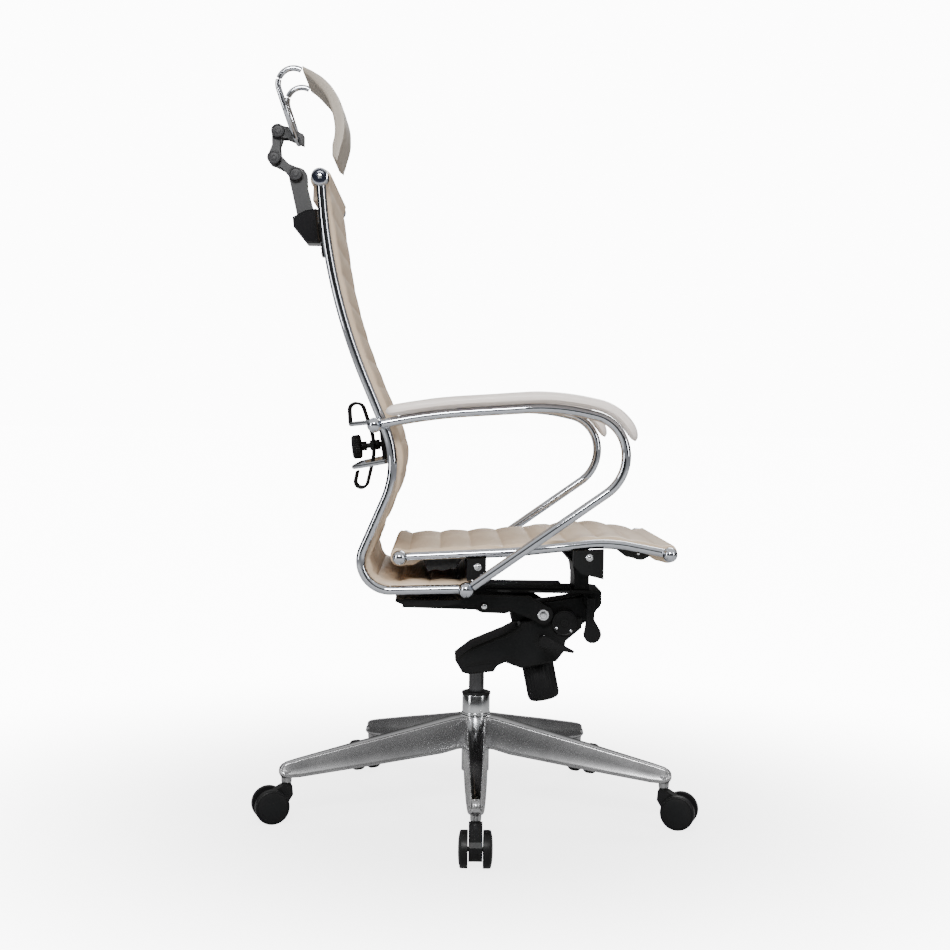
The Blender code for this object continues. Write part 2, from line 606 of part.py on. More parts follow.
def arm_pad_outline(at):
    """A flattened round section that narrows at both ends of the pad."""
    grow = min(1.0, 0.60 + 4.0 * at, 0.70 + 4.0 * (1.0 - at))
    half, thick = ARM_PAD_HALF_WIDTH * grow, ARM_PAD_THICK / 2
    low = ((-thick, -0.80 * half), (-0.3 * thick, -half), (0.6 * thick, -0.85 * half), (thick, -0.4 * half))
    return low + tuple((a, -b) for a, b in low[::-1])


def build_arms():
    """Chrome arm tubes between the back's bosses, each with a leather pad on top."""
    line = flat(ARM_CORNERS)
    tube_line = between_balls(line, BALL_R + GAP)
    covered = [p for p in evenly(line, 60) if p[0] > -0.160 and p[1] > 0.668]
    above = ARM_TUBE_R + 3 * GAP + ARM_PAD_THICK / 2
    middle = evenly(offset(covered, [above] * len(covered)), 30)
    for side, label in ((-1.0, "right"), (1.0, "left")):
        y = side * ARM_Y
        frame = tube([Vector((x, y, z)) for x, z in tube_line], ARM_TUBE_R, 10)
        settle(frame, f"arm_tube_{label}", "chrome", on_y(TILT_PIVOT))
        pad = solid(sweep([Vector((x, y, z)) for x, z in middle], arm_pad_outline))
        settle(pad, f"arm_pad_{label}", "pale_leather", on_y(TILT_PIVOT))


# ---- Lumbar support -----------------------------------------------------------------
def lumbar_point(distance):
    """A point on the screw's axis, so far in front of the knob's middle."""
    angle = math.radians(LUMBAR_SLOPE_DEG)
    return (LUMBAR_KNOB[0] + distance * math.cos(angle), 0.0, LUMBAR_KNOB[1] + distance * math.sin(angle))


def build_lumbar():
    """Two bowed rods, a wire carrier hooked over them, a screw with its knob, and a plate."""
    pivot = on_y(TILT_PIVOT)
    bows = {"upper": ((-0.1760, 0.6995), (-0.2260, 0.6935)), "lower": ((-0.1610, 0.6330), (-0.2200, 0.6200))}
    for label, (end, apex) in bows.items():
        corners = [(end[0], y, end[1], 0.0) for y in (-0.2072, 0.2072)]
        corners[1:1] = [(apex[0], y, apex[1], 0.080) for y in (-0.135, 0.135)]
        bow = tube(bent(corners), 0.0040, 8, (0.0, 0.0, 1.0))
        settle(bow, f"lumbar_rod_{label}", "chrome", pivot)
    hook = ((-0.2334, 0.696, 0.0), (-0.236, 0.733, 0.012), (-0.212, 0.729, 0.012), (-0.186, 0.655, 0.12),
            (-0.2035, 0.577, 0.011), (-0.2245, 0.583, 0.011), (-0.2195, 0.608, 0.0))
    wires = [tube(bent_at(hook, y), 0.0025, 6) for y in (-0.025, 0.025)]
    nut = rod(lumbar_point(0.0235), lumbar_point(0.0420), 0.0090)
    brace = box((-0.1945, -0.025, 0.650), (-0.1885, 0.025, 0.662))
    carrier = combine(nut, [brace] + wires)
    screw_hole = rod(lumbar_point(0.0100), lumbar_point(0.0600), 0.0050 + GAP)
    settle(combine(carrier, [screw_hole], "DIFFERENCE"), "lumbar_carrier", "black_steel", pivot)
    profile = [(0.0, 0.0), (0.0190, 0.0), (0.0215, 0.0030), (0.0215, 0.0146), (0.0190, 0.0176), (0.0, 0.0176)]
    knob = turned(profile, 16, along(lumbar_point(-0.0088), lumbar_point(1.0)))
    hub = rod(lumbar_point(0.0060), lumbar_point(0.0180), 0.0082)
    screw = rod(lumbar_point(0.0120), lumbar_point(0.0470), 0.0050)
    settle(combine(knob, [hub, screw]), "lumbar_knob", "black_plastic", lumbar_point(0.0))
    plate = [(-0.1690, 0.628), (-0.1645, 0.628), (-0.1645, 0.660), (-0.1720, 0.686), (-0.1765, 0.686)]
    settle(slab(plate, -0.130, 0.130), "lumbar_plate", "black_plastic", lumbar_point(0.0520))


# ---- Headrest -----------------------------------------------------------------------
def rail_frame():
    """The place and lean of the headrest rail, with its length along Z."""
    return Matrix.Translation(RAIL_FOOT) @ Matrix.Rotation(-RAIL_LEAN, 4, "Y")


def build_headrest_rail():
    """A T-shaped rail behind the cushion, parallel to the back tubes."""
    flange = box((-0.003, -0.012, -0.065), (0.003, 0.012, 0.030))
    rail = combine(flange, [box((0.0025, -0.005, -0.065), (0.0150, 0.005, -0.004))])
    rail.data.transform(rail_frame())
    settle(rail, "headrest_rail", "chrome", on_y(TILT_PIVOT))


def build_slider():
    """The sliding housing with its jaws round the rail, and the stalk that stands in it."""
    slider_pivot = (-0.315, 0.0, 1.045)
    outline = [(-0.339, 1.058), (-0.337, 1.040), (-0.314, 1.012), (-0.2900, 1.012), (-0.2965, 1.0735),
               (-0.316, 1.070)]
    body = slab(outline, -0.028, 0.028, bevel=0.003)
    slot = box((-0.3340, -0.0165, 1.0405), (-0.3010, 0.0165, 1.2))
    body = combine(body, [slot], "DIFFERENCE")
    jaws = []
    for side in (-1.0, 1.0):
        jaws.append(box((-0.0150, side * 0.0125, -0.0400), (0.0062, side * 0.0200, -0.0080)))
        jaws.append(box((0.0034, side * 0.0070, -0.0390), (0.0060, side * 0.0160, -0.0090)))
    for jaw in jaws:
        jaw.data.transform(rail_frame())
    settle(combine(body, jaws), "headrest_slider", "black_plastic", slider_pivot)
    stalk = [(-0.3325, 1.063), (-0.3325, 1.041), (-0.3035, 1.041), (-0.3035, 1.072), (-0.3145, 1.112)]
    stalk += arc((-0.3315, 1.131), 0.0165, 0, 180, 8) + [(-0.3390, 1.092)]
    eye = cross_rod(HEADREST_PIVOTS[0], -0.3, 0.3, BOLT_BORE_R)
    stalk = combine(slab(stalk, -0.0100, 0.0100), [eye], "DIFFERENCE")
    settle(stalk, "headrest_stalk", "grey_plastic", slider_pivot)


def build_link(label, start, end):
    """A link with a forked eye on its lower bolt and a single eye on its upper one."""
    run = Vector(end) - Vector(start)
    turn = math.degrees(math.atan2(run.y, run.x))
    ahead = run.normalized()
    side = Vector((-ahead.y, ahead.x))

    def at(distance, across):
        return tuple(Vector(start) + ahead * distance + side * across)

    neck, waist = run.length - 0.0165, 0.0065
    cheek = arc(start, EYE_R, turn + 90, turn + 270, 8)
    cheek += [at(run.length / 2, -waist), at(neck, -waist), at(neck, waist), at(run.length / 2, waist)]
    tongue = arc(end, EYE_R, turn - 90, turn + 90, 8) + [at(0.0145, waist), at(0.0145, -waist)]
    bridge = [at(0.0150, 0.0052), at(0.0150, -0.0052), at(neck - 0.001, -0.0052), at(neck - 0.001, 0.0052)]
    pieces = []
    for s in (-1.0, 1.0):
        pieces += [slab(bridge, s * 0.0080, s * 0.0120), slab(cheek, s * 0.0103, s * 0.0170)]
    link = combine(slab(tongue, -0.0100, 0.0100), pieces)
    holes = [cross_rod(point, -0.3, 0.3, BOLT_BORE_R) for point in (start, end)]
    settle(combine(link, holes, "DIFFERENCE"), f"headrest_link_{label}", "grey_plastic", on_y(start))


def build_headrest():
    """Two links, the clamp, the bent tube that it holds, and three cross bolts."""
    first, second, third = HEADREST_PIVOTS
    build_link("lower", first, second)
    build_link("upper", second, third)
    mirrored = tuple((x, -y, z, radius) for x, y, z, radius in HEADREST_CORNERS[::-1])
    path = bent(HEADREST_CORNERS + mirrored)
    up = (0.3, 0.0, 1.0)
    clamp = [(-0.350, 1.198), (-0.322, 1.187), (-0.322, 1.205), (-0.349, 1.217)]
    ear = arc(third, EYE_R, 100, 260, 8) + clamp
    core = slab(clamp, -0.015, 0.015)
    block = combine(core, [slab(ear, s * 0.0103, s * 0.0170) for s in (-1.0, 1.0)])
    cutters = [tube(path, HEADREST_TUBE_R + 0.0006, 8, up), cross_rod(third, -0.3, 0.3, BOLT_BORE_R)]
    settle(combine(block, cutters, "DIFFERENCE"), "headrest_block", "grey_plastic", on_y(third))
    settle(tube(path, HEADREST_TUBE_R, 8, up), "headrest_tube", "chrome", on_y(third))
    for i, point in enumerate(HEADREST_PIVOTS):
        heads = [cross_rod(point, s * 0.0173, s * 0.0225, EYE_R, 16) for s in (-1.0, 1.0)]
        bolt = combine(cross_rod(point, -0.0190, 0.0190, 0.0040), heads)
        settle(bolt, f"headrest_bolt_{i + 1}", "grey_plastic", on_y(point))


def build_headrest_pad():
    """A shell cushion bowed forwards, held by the ends of the bent tube."""
    front = evenly(flat(HEADREST_CORE), 14)
    rear = offset(front, [-HEADREST_THICK] * len(front))
    pad = slab(front + rear[::-1], -HEADREST_HALF_WIDTH, HEADREST_HALF_WIDTH)
    settle(pad, "headrest_pad", "pale_leather", on_y(HEADREST_PIVOTS[2]))


def build_chair():
    clear_scene()
    frame = bpy.data.objects.new("chair_frame", None)
    frame.location = ORIGIN_SHIFT
    bpy.context.scene.collection.objects.link(frame)
    build_base()
    build_column()
    build_casters()
    build_housing()
    build_back_lever()
    build_seat_carrier()
    build_controls()
    build_seat_frame()
    build_seat_pad()
    build_seat_brackets()
    build_back_frame()
    build_back_pad()
    build_arms()
    build_lumbar()
    build_headrest_rail()
    build_slider()
    build_headrest()
    build_headrest_pad()


build_chair()
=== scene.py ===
"""The looks of a swivel office chair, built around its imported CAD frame."""

import math

import bmesh
import bpy
from mathutils import Matrix, Quaternion, Vector, noise


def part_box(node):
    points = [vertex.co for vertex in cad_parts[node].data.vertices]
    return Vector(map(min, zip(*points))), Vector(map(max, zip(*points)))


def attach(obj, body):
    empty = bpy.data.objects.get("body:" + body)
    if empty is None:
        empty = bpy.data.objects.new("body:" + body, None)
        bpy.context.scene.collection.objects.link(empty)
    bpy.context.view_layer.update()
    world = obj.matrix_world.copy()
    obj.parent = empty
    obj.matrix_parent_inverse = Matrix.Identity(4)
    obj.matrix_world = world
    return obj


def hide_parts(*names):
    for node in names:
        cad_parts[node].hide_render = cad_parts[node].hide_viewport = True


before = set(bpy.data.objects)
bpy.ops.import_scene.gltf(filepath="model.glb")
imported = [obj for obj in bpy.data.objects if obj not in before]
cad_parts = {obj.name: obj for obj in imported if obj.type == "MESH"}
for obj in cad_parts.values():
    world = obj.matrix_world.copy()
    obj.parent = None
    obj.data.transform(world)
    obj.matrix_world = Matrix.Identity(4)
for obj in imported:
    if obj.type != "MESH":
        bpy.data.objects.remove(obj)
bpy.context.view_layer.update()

# ---- Where things are, from the swivel axis at floor level ---------------------------
SWIVEL = (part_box("column_tube")[0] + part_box("column_tube")[1]) / 2
PAD_HALF = 0.2035
SEAT_TUBE_Y = 0.212
BACK_TUBE_Y = 0.216
ARM_Y = 0.243
BACK_TOP = (-0.275, 1.099)
BACK_BALL = (-0.025, 0.423)
ARM_BALL = (-0.180, 0.6935)
SEAT_REAR = (-0.136, 0.4745)
SEAT_FRONT = (0.313, 0.4855)
TILT_PIVOT = (0.1145, 0.3625)
LINK_RIVET = (0.0100, 0.3765)
HEADREST_PIVOTS = ((-0.3350, 1.1350), (-0.3735, 1.1630), (-0.3670, 1.2100))
LUMBAR_KNOB = (-0.2210, 0.6525)
LUMBAR_SLOPE = math.radians(7.0)
FIRST_ARM_DEG = -91.0
STEM_R = 0.346
AXLE_R = 0.374
# The tubes' bent routes: corners (x, z, bend radius).
BACK_CORNERS = ((*BACK_TOP, 0.0), (-0.257, 0.906, 0.95), (-0.137, 0.628, 0.15), (-0.227, 0.4165, 0.049),
                (*BACK_BALL, 0.0))
ARM_CORNERS = ((*ARM_BALL, 0.0), (-0.082, 0.713, 0.90), (0.119, 0.728, 0.35), (0.220, 0.707, 0.065),
               (0.2485, 0.6185, 0.075), (*BACK_BALL, 0.0))
SEAT_CORNERS = ((*SEAT_REAR, 0.0), (0.060, 0.486, 0.90), (0.212, 0.504, 0.25), (*SEAT_FRONT, 0.0))
HEADREST_CORNERS = ((-0.3215, 0.080, 1.3035, 0.0), (-0.380, 0.080, 1.331, 0.027),
                    (-0.334, 0.080, 1.196, 0.055))
HEADREST_CORE = ((-0.318, 1.3095, 0.0), (-0.2215, 1.268, 0.105), (-0.256, 1.149, 0.0))

# ---- Camera -------------------------------------------------------------------------
# The camera stands beside the chair, nearly square to it, a little above the armrests.
CAMERA_FROM_SWIVEL = Vector((-0.068, -2.800, 0.712))
CAMERA_YAW_DEG = 1.22
CAMERA_PITCH_DEG = 2.19
CAMERA_ROLL_DEG = 0.90
CAMERA_LENS_MM = 59.0


# ---- Materials ----------------------------------------------------------------------
def add(tree, kind, **values):
    node = tree.nodes.new(kind)
    for name, value in values.items():
        if name in node.inputs:
            node.inputs[name].default_value = value
        else:
            setattr(node, name, value)
    return node


def finish(name, slot, dark, light, rough, metal=0.0, grain=0.0, grain_scale=900.0, patch=14.0, depth=0.0002,
           spread=0.08, shine=0.5, **shader_values):
    """A procedural material: its colour drifts from dark to light in soft patches, its roughness varies,
    and a fine grain lifts its surface."""
    material = bpy.data.materials.new(name)
    material.use_nodes = True
    tree = material.node_tree
    shader = tree.nodes["Principled BSDF"]
    for socket, value in shader_values.items():
        shader.inputs[socket.replace("_", " ")].default_value = value
    shader.inputs["Metallic"].default_value = metal
    shader.inputs["Specular IOR Level"].default_value = shine
    place = add(tree, "ShaderNodeTexCoord")
    soft = add(tree, "ShaderNodeTexNoise", Scale=patch, Detail=4.0, Roughness=0.55)
    tree.links.new(place.outputs["Object"], soft.inputs["Vector"])
    ramp = add(tree, "ShaderNodeValToRGB")
    ramp.color_ramp.elements[0].position = 0.32
    ramp.color_ramp.elements[1].position = 0.68
    ramp.color_ramp.elements[0].color = (*dark, 1.0)
    ramp.color_ramp.elements[1].color = (*light, 1.0)
    tree.links.new(soft.outputs["Fac"], ramp.inputs["Fac"])
    tree.links.new(ramp.outputs["Color"], shader.inputs["Base Color"])
    fine = add(tree, "ShaderNodeTexNoise", Scale=grain_scale * 0.2, Detail=3.0)
    tree.links.new(place.outputs["Object"], fine.inputs["Vector"])
    vary = add(tree, "ShaderNodeMapRange")
    vary.inputs["To Min"].default_value = rough * (1.0 - spread)
    vary.inputs["To Max"].default_value = rough * (1.0 + spread)
    tree.links.new(fine.outputs["Fac"], vary.inputs["Value"])
    tree.links.new(vary.outputs["Result"], shader.inputs["Roughness"])
    if grain:
        cells = add(tree, "ShaderNodeTexVoronoi", Scale=grain_scale, feature="SMOOTH_F1")
        tree.links.new(place.outputs["Object"], cells.inputs["Vector"])
        bump = add(tree, "ShaderNodeBump", Strength=grain, Distance=depth)
        tree.links.new(cells.outputs["Distance"], bump.inputs["Height"])
        tree.links.new(bump.outputs["Normal"], shader.inputs["Normal"])
    material["slot"] = slot
    return material


FINISH = {
    "chrome": finish("chrome", "polished_chrome", (0.50, 0.52, 0.56), (0.56, 0.58, 0.62), 0.045, 1.0,
                     patch=30.0),
    "aluminium": finish("aluminium", "polished_aluminium", (0.60, 0.60, 0.61), (0.68, 0.68, 0.69), 0.15, 1.0,
                        patch=22.0, spread=0.08),
    # The base arms' sides are a darker copy of the polished aluminium: the satin roughness is the casting's own,
    # and the darker colour is painted shade.
    "cast_side_painted_shade": finish("cast_side_painted_shade", "polished_aluminium", (0.27, 0.27, 0.275), (0.34, 0.34, 0.345), 0.27,
                        0.9,
                        patch=18.0, spread=0.08),
    "column": finish("column", "chromed_column", (0.48, 0.49, 0.50), (0.56, 0.57, 0.58), 0.16, 1.0,
                     spread=0.2),
    "piston": finish("piston", "black_steel", (0.035, 0.035, 0.037), (0.05, 0.05, 0.052), 0.22, 0.5),
    "black_steel": finish("black_steel", "black_steel", (0.004, 0.004, 0.0042), (0.008, 0.008, 0.0083), 0.42,
                          0.0,
                          grain=0.12, grain_scale=1400.0, shine=0.12),
    "black_plastic": finish("black_plastic", "black_plastic", (0.004, 0.004, 0.0043), (0.008, 0.008, 0.0084),
                            0.44,
                            grain=0.15, grain_scale=1800.0, shine=0.12),
    "gloss_black": finish("gloss_black", "gloss_black_plastic", (0.008, 0.008, 0.009), (0.012, 0.012, 0.013),
                          0.12,
                          shine=0.4),
    "navy_black": finish("navy_black", "black_steel", (0.010, 0.012, 0.022), (0.015, 0.018, 0.030), 0.15,
                         0.4),
    "grey_plastic": finish("grey_plastic", "grey_plastic", (0.020, 0.020, 0.0215), (0.030, 0.030, 0.032),
                           0.46,
                           grain=0.12, grain_scale=1600.0, shine=0.3),
    "caster": finish("caster", "caster_black", (0.004, 0.004, 0.0044), (0.007, 0.007, 0.0074), 0.40,
                     grain=0.10, grain_scale=1500.0, shine=0.15),
    "leather": finish("leather", "beige_leather", (0.480, 0.365, 0.250), (0.540, 0.415, 0.295), 0.44,
                      grain=0.30, grain_scale=1100.0, patch=9.0, spread=0.12, Coat_Weight=0.06, Coat_Roughness=0.3),
    "pale_leather": finish("pale_leather", "pale_leather", (0.720, 0.650, 0.600), (0.780, 0.710, 0.660), 0.42,
                           grain=0.28, grain_scale=1100.0, patch=9.0, spread=0.12, Coat_Weight=0.06),
    "greige_leather": finish("greige_leather", "pale_leather", (0.300, 0.262, 0.215), (0.345, 0.305, 0.255),
                             0.45,
                             grain=0.30, grain_scale=1100.0, patch=9.0, spread=0.12),
    "tan_leather": finish("tan_leather", "beige_leather", (0.26, 0.20, 0.145), (0.31, 0.24, 0.18), 0.55,
                          grain=0.25, grain_scale=1000.0),
    "black_cloth": finish("black_cloth", "black_cloth", (0.004, 0.004, 0.004), (0.008, 0.008, 0.0085), 0.85,
                          grain=0.6, grain_scale=1300.0, depth=0.0004, Sheen_Weight=0.15),
    "bright_bolt": finish("bright_bolt", "polished_chrome", (0.66, 0.67, 0.69), (0.74, 0.75, 0.77), 0.16,
                          1.0),
}


# ---- Mesh helpers -------------------------------------------------------------------
def make(name, bm, finish_name, body, nodes=(), angle=40.0):
    """A finished piece: faces turned out, material, shading, the body it rides on, the nodes it stands for."""
    bmesh.ops.recalc_face_normals(bm, faces=bm.faces)
    mesh = bpy.data.meshes.new(name)
    bm.to_mesh(mesh)
    bm.free()
    material = FINISH[finish_name]
    mesh.materials.append(material)
    mesh.shade_smooth()
    mesh.set_sharp_from_angle(angle=math.radians(angle))
    obj = bpy.data.objects.new(name, mesh)
    bpy.context.scene.collection.objects.link(obj)
    obj.location = (SWIVEL.x, SWIVEL.y, 0.0)
    bpy.context.view_layer.update()
    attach(obj, body)
    if nodes:
        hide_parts(*nodes)
    return obj


def bent(corners, error=0.00005):
    """Points along straight runs joined by arcs. A corner is (x, y, z, bend radius)."""
    points = [Vector(corners[0][:3])]
    for before, corner, after in zip(corners, corners[1:], corners[2:]):
        here, radius = Vector(corner[:3]), corner[3]
        back = (Vector(before[:3]) - here).normalized()
        ahead = (Vector(after[:3]) - here).normalized()
        half = back.angle(ahead) / 2
        centre = here + (back + ahead).normalized() * radius / math.sin(half)
        start = here + back * radius / math.tan(half) - centre
        end = here + ahead * radius / math.tan(half) - centre
        turn = math.pi - 2 * half
        count = max(6, math.ceil(turn / (2 * math.acos(1 - error / radius))))
        for i in range(count + 1):
            points.append(centre + Quaternion(start.cross(end), turn * i / count) @ start)
    points.append(Vector(corners[-1][:3]))
    return [p for i, p in enumerate(points) if i == 0 or (p - points[i - 1]).length > 0.0005]


def bent_at(corners, y):
    return bent([(x, y, z, radius) for x, z, radius in corners])


def flat(corners):
    return [Vector((p.x, p.z)) for p in bent_at(corners, 0.0)]


def evenly(points, count):
    """count points, evenly spread along a run of them, with the run's length."""
    lengths = [0.0]
    for before, after in zip(points, points[1:]):
        lengths.append(lengths[-1] + (after - before).length)
    found, j = [], 1
    for i in range(count):
        reach = lengths[-1] * i / (count - 1)
        while j < len(points) - 1 and lengths[j] < reach:
            j += 1
        part = (reach - lengths[j - 1]) / (lengths[j] - lengths[j - 1])
        found.append(points[j - 1].lerp(points[j], part))
    return found, lengths[-1]


def normals(points):
    """The left-hand normal at each (x, z) point of a run."""
    found = []
    for i in range(len(points)):
        run = (points[min(i + 1, len(points) - 1)] - points[max(i - 1, 0)]).normalized()
        found.append(Vector((-run.y, run.x)))
    return found


def skin(bm, rings, caps=True):
    """Quads between successive rings of points, with the ends filled."""
    made = [[bm.verts.new(p) for p in ring] for ring in rings]
    for low, high in zip(made, made[1:]):
        for j in range(len(low)):
            k = (j + 1) % len(low)
            bm.faces.new((low[j], low[k], high[k], high[j]))
    if caps:
        bm.faces.new(made[0][::-1])
        bm.faces.new(made[-1])
    return made


def sweep(path, outline, up=(0.0, 1.0, 0.0), bm=None):
    """A closed outline carried along a path: first coordinate across it, square to up, second along up."""
    bm = bm or bmesh.new()
    up = Vector(up)
    rings = []
    for i, point in enumerate(path):
        tangent = (path[min(i + 1, len(path) - 1)] - path[max(i - 1, 0)]).normalized()
        across = up.cross(tangent).normalized()
        high = tangent.cross(across)
        rings.append([point + across * a + high * b for a, b in outline(i / (len(path) - 1))])
    skin(bm, rings)
    return bm


def round_ring(radius, sides=24):
    turns = [math.tau * i / sides for i in range(sides)]
    ring = [(radius * math.cos(a), radius * math.sin(a)) for a in turns]
    return lambda part: ring


def turned(profile, start, end, sides=48, bm=None, ribs=0, rib_depth=0.0, rib_band=(0.0, 0.0)):
    """A body of revolution on the line from start towards end. Ribs make its radius rise and fall round it."""
    bm = bm or bmesh.new()
    start, end = Vector(start), Vector(end)
    place = Matrix.Translation(start) @ (end - start).to_track_quat("Z", "Y").to_matrix().to_4x4()
    rings = []
    for radius, height in profile:
        ring = []
        for i in range(sides):
            a = math.tau * i / sides
            inside = rib_band[0] <= height <= rib_band[1]
            r = radius + (rib_depth * math.cos(ribs * a) if ribs and inside else 0.0)
            ring.append(place @ Vector((max(r, 0.00002) * math.cos(a), max(r, 0.00002) * math.sin(a),
                                        height)))
        rings.append(ring)
    skin(bm, rings)
    return bm


def dome(centre, axis, radius, height, bm=None, sides=32):
    """A shallow rounded head, such as a rivet's or a screw's."""
    centre, axis = Vector(centre), Vector(axis)
    turns = [math.radians(15 * i) for i in range(7)]
    profile = [(radius * math.cos(a), height * (0.35 + 0.65 * math.sin(a))) for a in turns]
    return turned([(radius, -0.0008)] + profile, centre, centre + axis, sides, bm)


def ball(centre, radius, bm=None):
    centre = Vector(centre)
    turns = [math.pi * i / 24 for i in range(25)]
    profile = [(radius * math.sin(a), -radius * math.cos(a)) for a in turns]
    return turned(profile, centre, centre + Vector((0.0, 1.0, 0.0)), 40, bm)


def plate(outline, y0, y1, bm=None):
    """An (x, z) outline extruded along Y."""
    bm = bm or bmesh.new()
    skin(bm, [[Vector((x, y, z)) for x, z in outline] for y in (y0, y1)])
    return bm


def soften(obj, width, segments=3):
    """Rounded edges on a hard piece."""
    bevel = obj.modifiers.new("soft_edges", "BEVEL")
    bevel.width = width
    bevel.segments = segments
    bevel.limit_method = "ANGLE"
    bevel.angle_limit = math.radians(32)
    return obj


def dress(node, finish_name, width=0.0):
    """A CAD node that stays as it is, with a material and rounded edges."""
    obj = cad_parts[node]
    obj.data.materials.clear()
    obj.data.materials.append(FINISH[finish_name])
    if width:
        soften(obj, width, 2)
    return obj


def arc(centre, radius, start_deg, end_deg, count):
    turns = [math.radians(start_deg + (end_deg - start_deg) * i / (count - 1)) for i in range(count)]
    return [Vector((centre[0] + radius * math.cos(a), centre[1] + radius * math.sin(a))) for a in turns]


def level(stations, place):
    """Smooth interpolation in (place, value) stations."""
    for (a, low), (b, high) in zip(stations, stations[1:]):
        if place <= b:
            part = (place - a) / (b - a)
            return low + (high - low) * part * part * (3 - 2 * part)
    return stations[-1][1]


def smooth(low, high, value):
    part = min(1.0, max(0.0, (value - low) / (high - low)))
    return part * part * (3 - 2 * part)


# ---- Base, column and casters -------------------------------------------------------
# Along an arm of the base: (distance out, top, bottom, half width on top, at the bottom).
ARM_STATIONS = ((0.022, 0.1715, 0.1145, 0.0170, 0.0200), (0.040, 0.1690, 0.1140, 0.0168, 0.0215),
                (0.069, 0.1630, 0.1075, 0.0162, 0.0215), (0.143, 0.1470, 0.0990, 0.0142, 0.0208),
                (0.215, 0.1320, 0.0905, 0.0120, 0.0190), (0.286, 0.1165, 0.0825, 0.0098, 0.0165),
                (0.325, 0.1080, 0.0780, 0.0086, 0.0145), (0.345, 0.1030, 0.0775, 0.0080, 0.0130),
                (0.354, 0.0995, 0.0790, 0.0070, 0.0110), (0.3585, 0.0945, 0.0830, 0.0040, 0.0070))


def station(table, place):
    for low, high in zip(table, table[1:]):
        if place <= high[0]:
            part = (place - low[0]) / (high[0] - low[0])
            return [a + (b - a) * part for a, b in zip(low, high)]
    return list(table[-1])


def arm_section(top, bottom, half_top, half_bottom):
    """A cast section: a crowned top strip, sides that flare out, a rounded lower lip."""
    high = top - bottom
    side = [(0.0, top + 0.0006), (0.55 * half_top, top + 0.0004), (half_top - 0.0022, top),
            (half_top - 0.0006, top - 0.0007), (half_top, top - 0.0024),
            (half_top + 0.30 * (half_bottom - half_top), bottom + 0.55 * high),
            (half_bottom - 0.0012, bottom + 0.0075), (half_bottom, bottom + 0.0050),
            (half_bottom, bottom + 0.0020), (half_bottom - 0.0016, bottom)]
    return side + [(-y, z) for y, z in side[:0:-1]]


def base_arms(turn, index):
    strip, sides = bmesh.new(), bmesh.new()
    places = [ARM_STATIONS[0][0] + (ARM_STATIONS[-1][0] - ARM_STATIONS[0][0]) * i / 70 for i in range(71)]
    rings = []
    for place in places:
        out, top, bottom, half_top, half_bottom = station(ARM_STATIONS, place)
        rings.append([turn @ Vector((out, y, z)) for y, z in arm_section(top, bottom, half_top, half_bottom)])
    skin(sides, rings)
    # The polished strip lies on the casting's top face; the casting's sides are coloured darker, which is painted
    # shade.
    tops = []
    for place in places[1:-2]:
        out, top, bottom, half_top, half_bottom = station(ARM_STATIONS, place)
        section = ((0.92 * half_top, top - 0.0012), (0.90 * half_top, top + 0.0003),
                   (0.5 * half_top, top + 0.0009),
                   (0.0, top + 0.0011), (-0.5 * half_top, top + 0.0009), (-0.90 * half_top, top + 0.0003),
                   (-0.92 * half_top, top - 0.0012))
        tops.append([turn @ Vector((out, y, z)) for y, z in section])
    skin(strip, tops)
    turned([(0.0010, 0.0675), (0.0080, 0.0675), (0.0087, 0.0682), (0.0090, 0.0700), (0.0092, 0.0760),
            (0.0100, 0.0790), (0.0120, 0.0810), (0.0120, 0.0900)], turn @ Vector((STEM_R, 0.0, 0.0)),
           turn @ Vector((STEM_R, 0.0, 1.0)), 36, sides)
    make(f"arm_casting_{index}", sides, "cast_side_painted_shade", "base", angle=50)
    make(f"arm_strip_{index}", strip, "aluminium", "base", angle=60)


def arm_turn(i):
    return Matrix.Rotation(math.radians(FIRST_ARM_DEG + 72.0 * i), 4, "Z")


def make_base():
    for i in range(5):
        base_arms(arm_turn(i), i + 1)
    hub = turned([(0.0253, 0.1150), (0.0280, 0.1150), (0.0295, 0.1160), (0.0300, 0.1680), (0.0300, 0.1705),
                  (0.0292, 0.1720), (0.0278, 0.1726), (0.0253, 0.1726)], (0, 0, 0), (0, 0, 1), 64)
    make("hub", hub, "aluminium", "base", ["star_base"])
    column = turned([(0.0010, 0.0703), (0.0240, 0.0703), (0.0250, 0.0715), (0.0250, 0.1722), (0.0258, 0.1728),
                     (0.0260, 0.1740), (0.0260, 0.1765), (0.0256, 0.1775), (0.0250, 0.1780), (0.0250, 0.2075),
                     (0.0245, 0.2088), (0.0226, 0.2090), (0.0226, 0.150)], (0, 0, 0), (0, 0, 1), 72)
    dome((0.0085, -0.0238, 0.1815), (0.35, -1.0, 0.0), 0.0022, 0.0012, column)
    make("column", column, "column", "base", ["column_tube"])
    bush = turned([(0.0222, 0.160), (0.0222, 0.2092), (0.0256, 0.2093), (0.0262, 0.2100), (0.0262, 0.2128),
                   (0.0256, 0.2138), (0.0235, 0.2144), (0.0228, 0.2150), (0.0160, 0.2150), (0.0147, 0.2143),
                   (0.0144, 0.2130), (0.0144, 0.160)], (0, 0, 0), (0, 0, 1), 64)
    make("bushing", bush, "black_plastic", "base", ["column_bushing"])
    rod = turned([(0.0010, 0.0735), (0.0115, 0.0735), (0.0120, 0.0745), (0.0120, 0.0780), (0.0050, 0.0785),
                  (0.0050, 0.1515), (0.0010, 0.1520)], (0, 0, 0), (0, 0, 1), 32)
    make("inner_rod", rod, "chrome", "lift_rod", ["piston_rod"])
    lift = turned([(0.0056, 0.165), (0.0056, 0.0802), (0.0136, 0.0802), (0.0140, 0.0812), (0.0140, 0.2555),
                   (0.0132, 0.2795), (0.0010, 0.2798)], (0, 0, 0), (0, 0, 1), 48)
    make("gas_cylinder_skin", lift, "piston", "mechanism", ["gas_cylinder"])


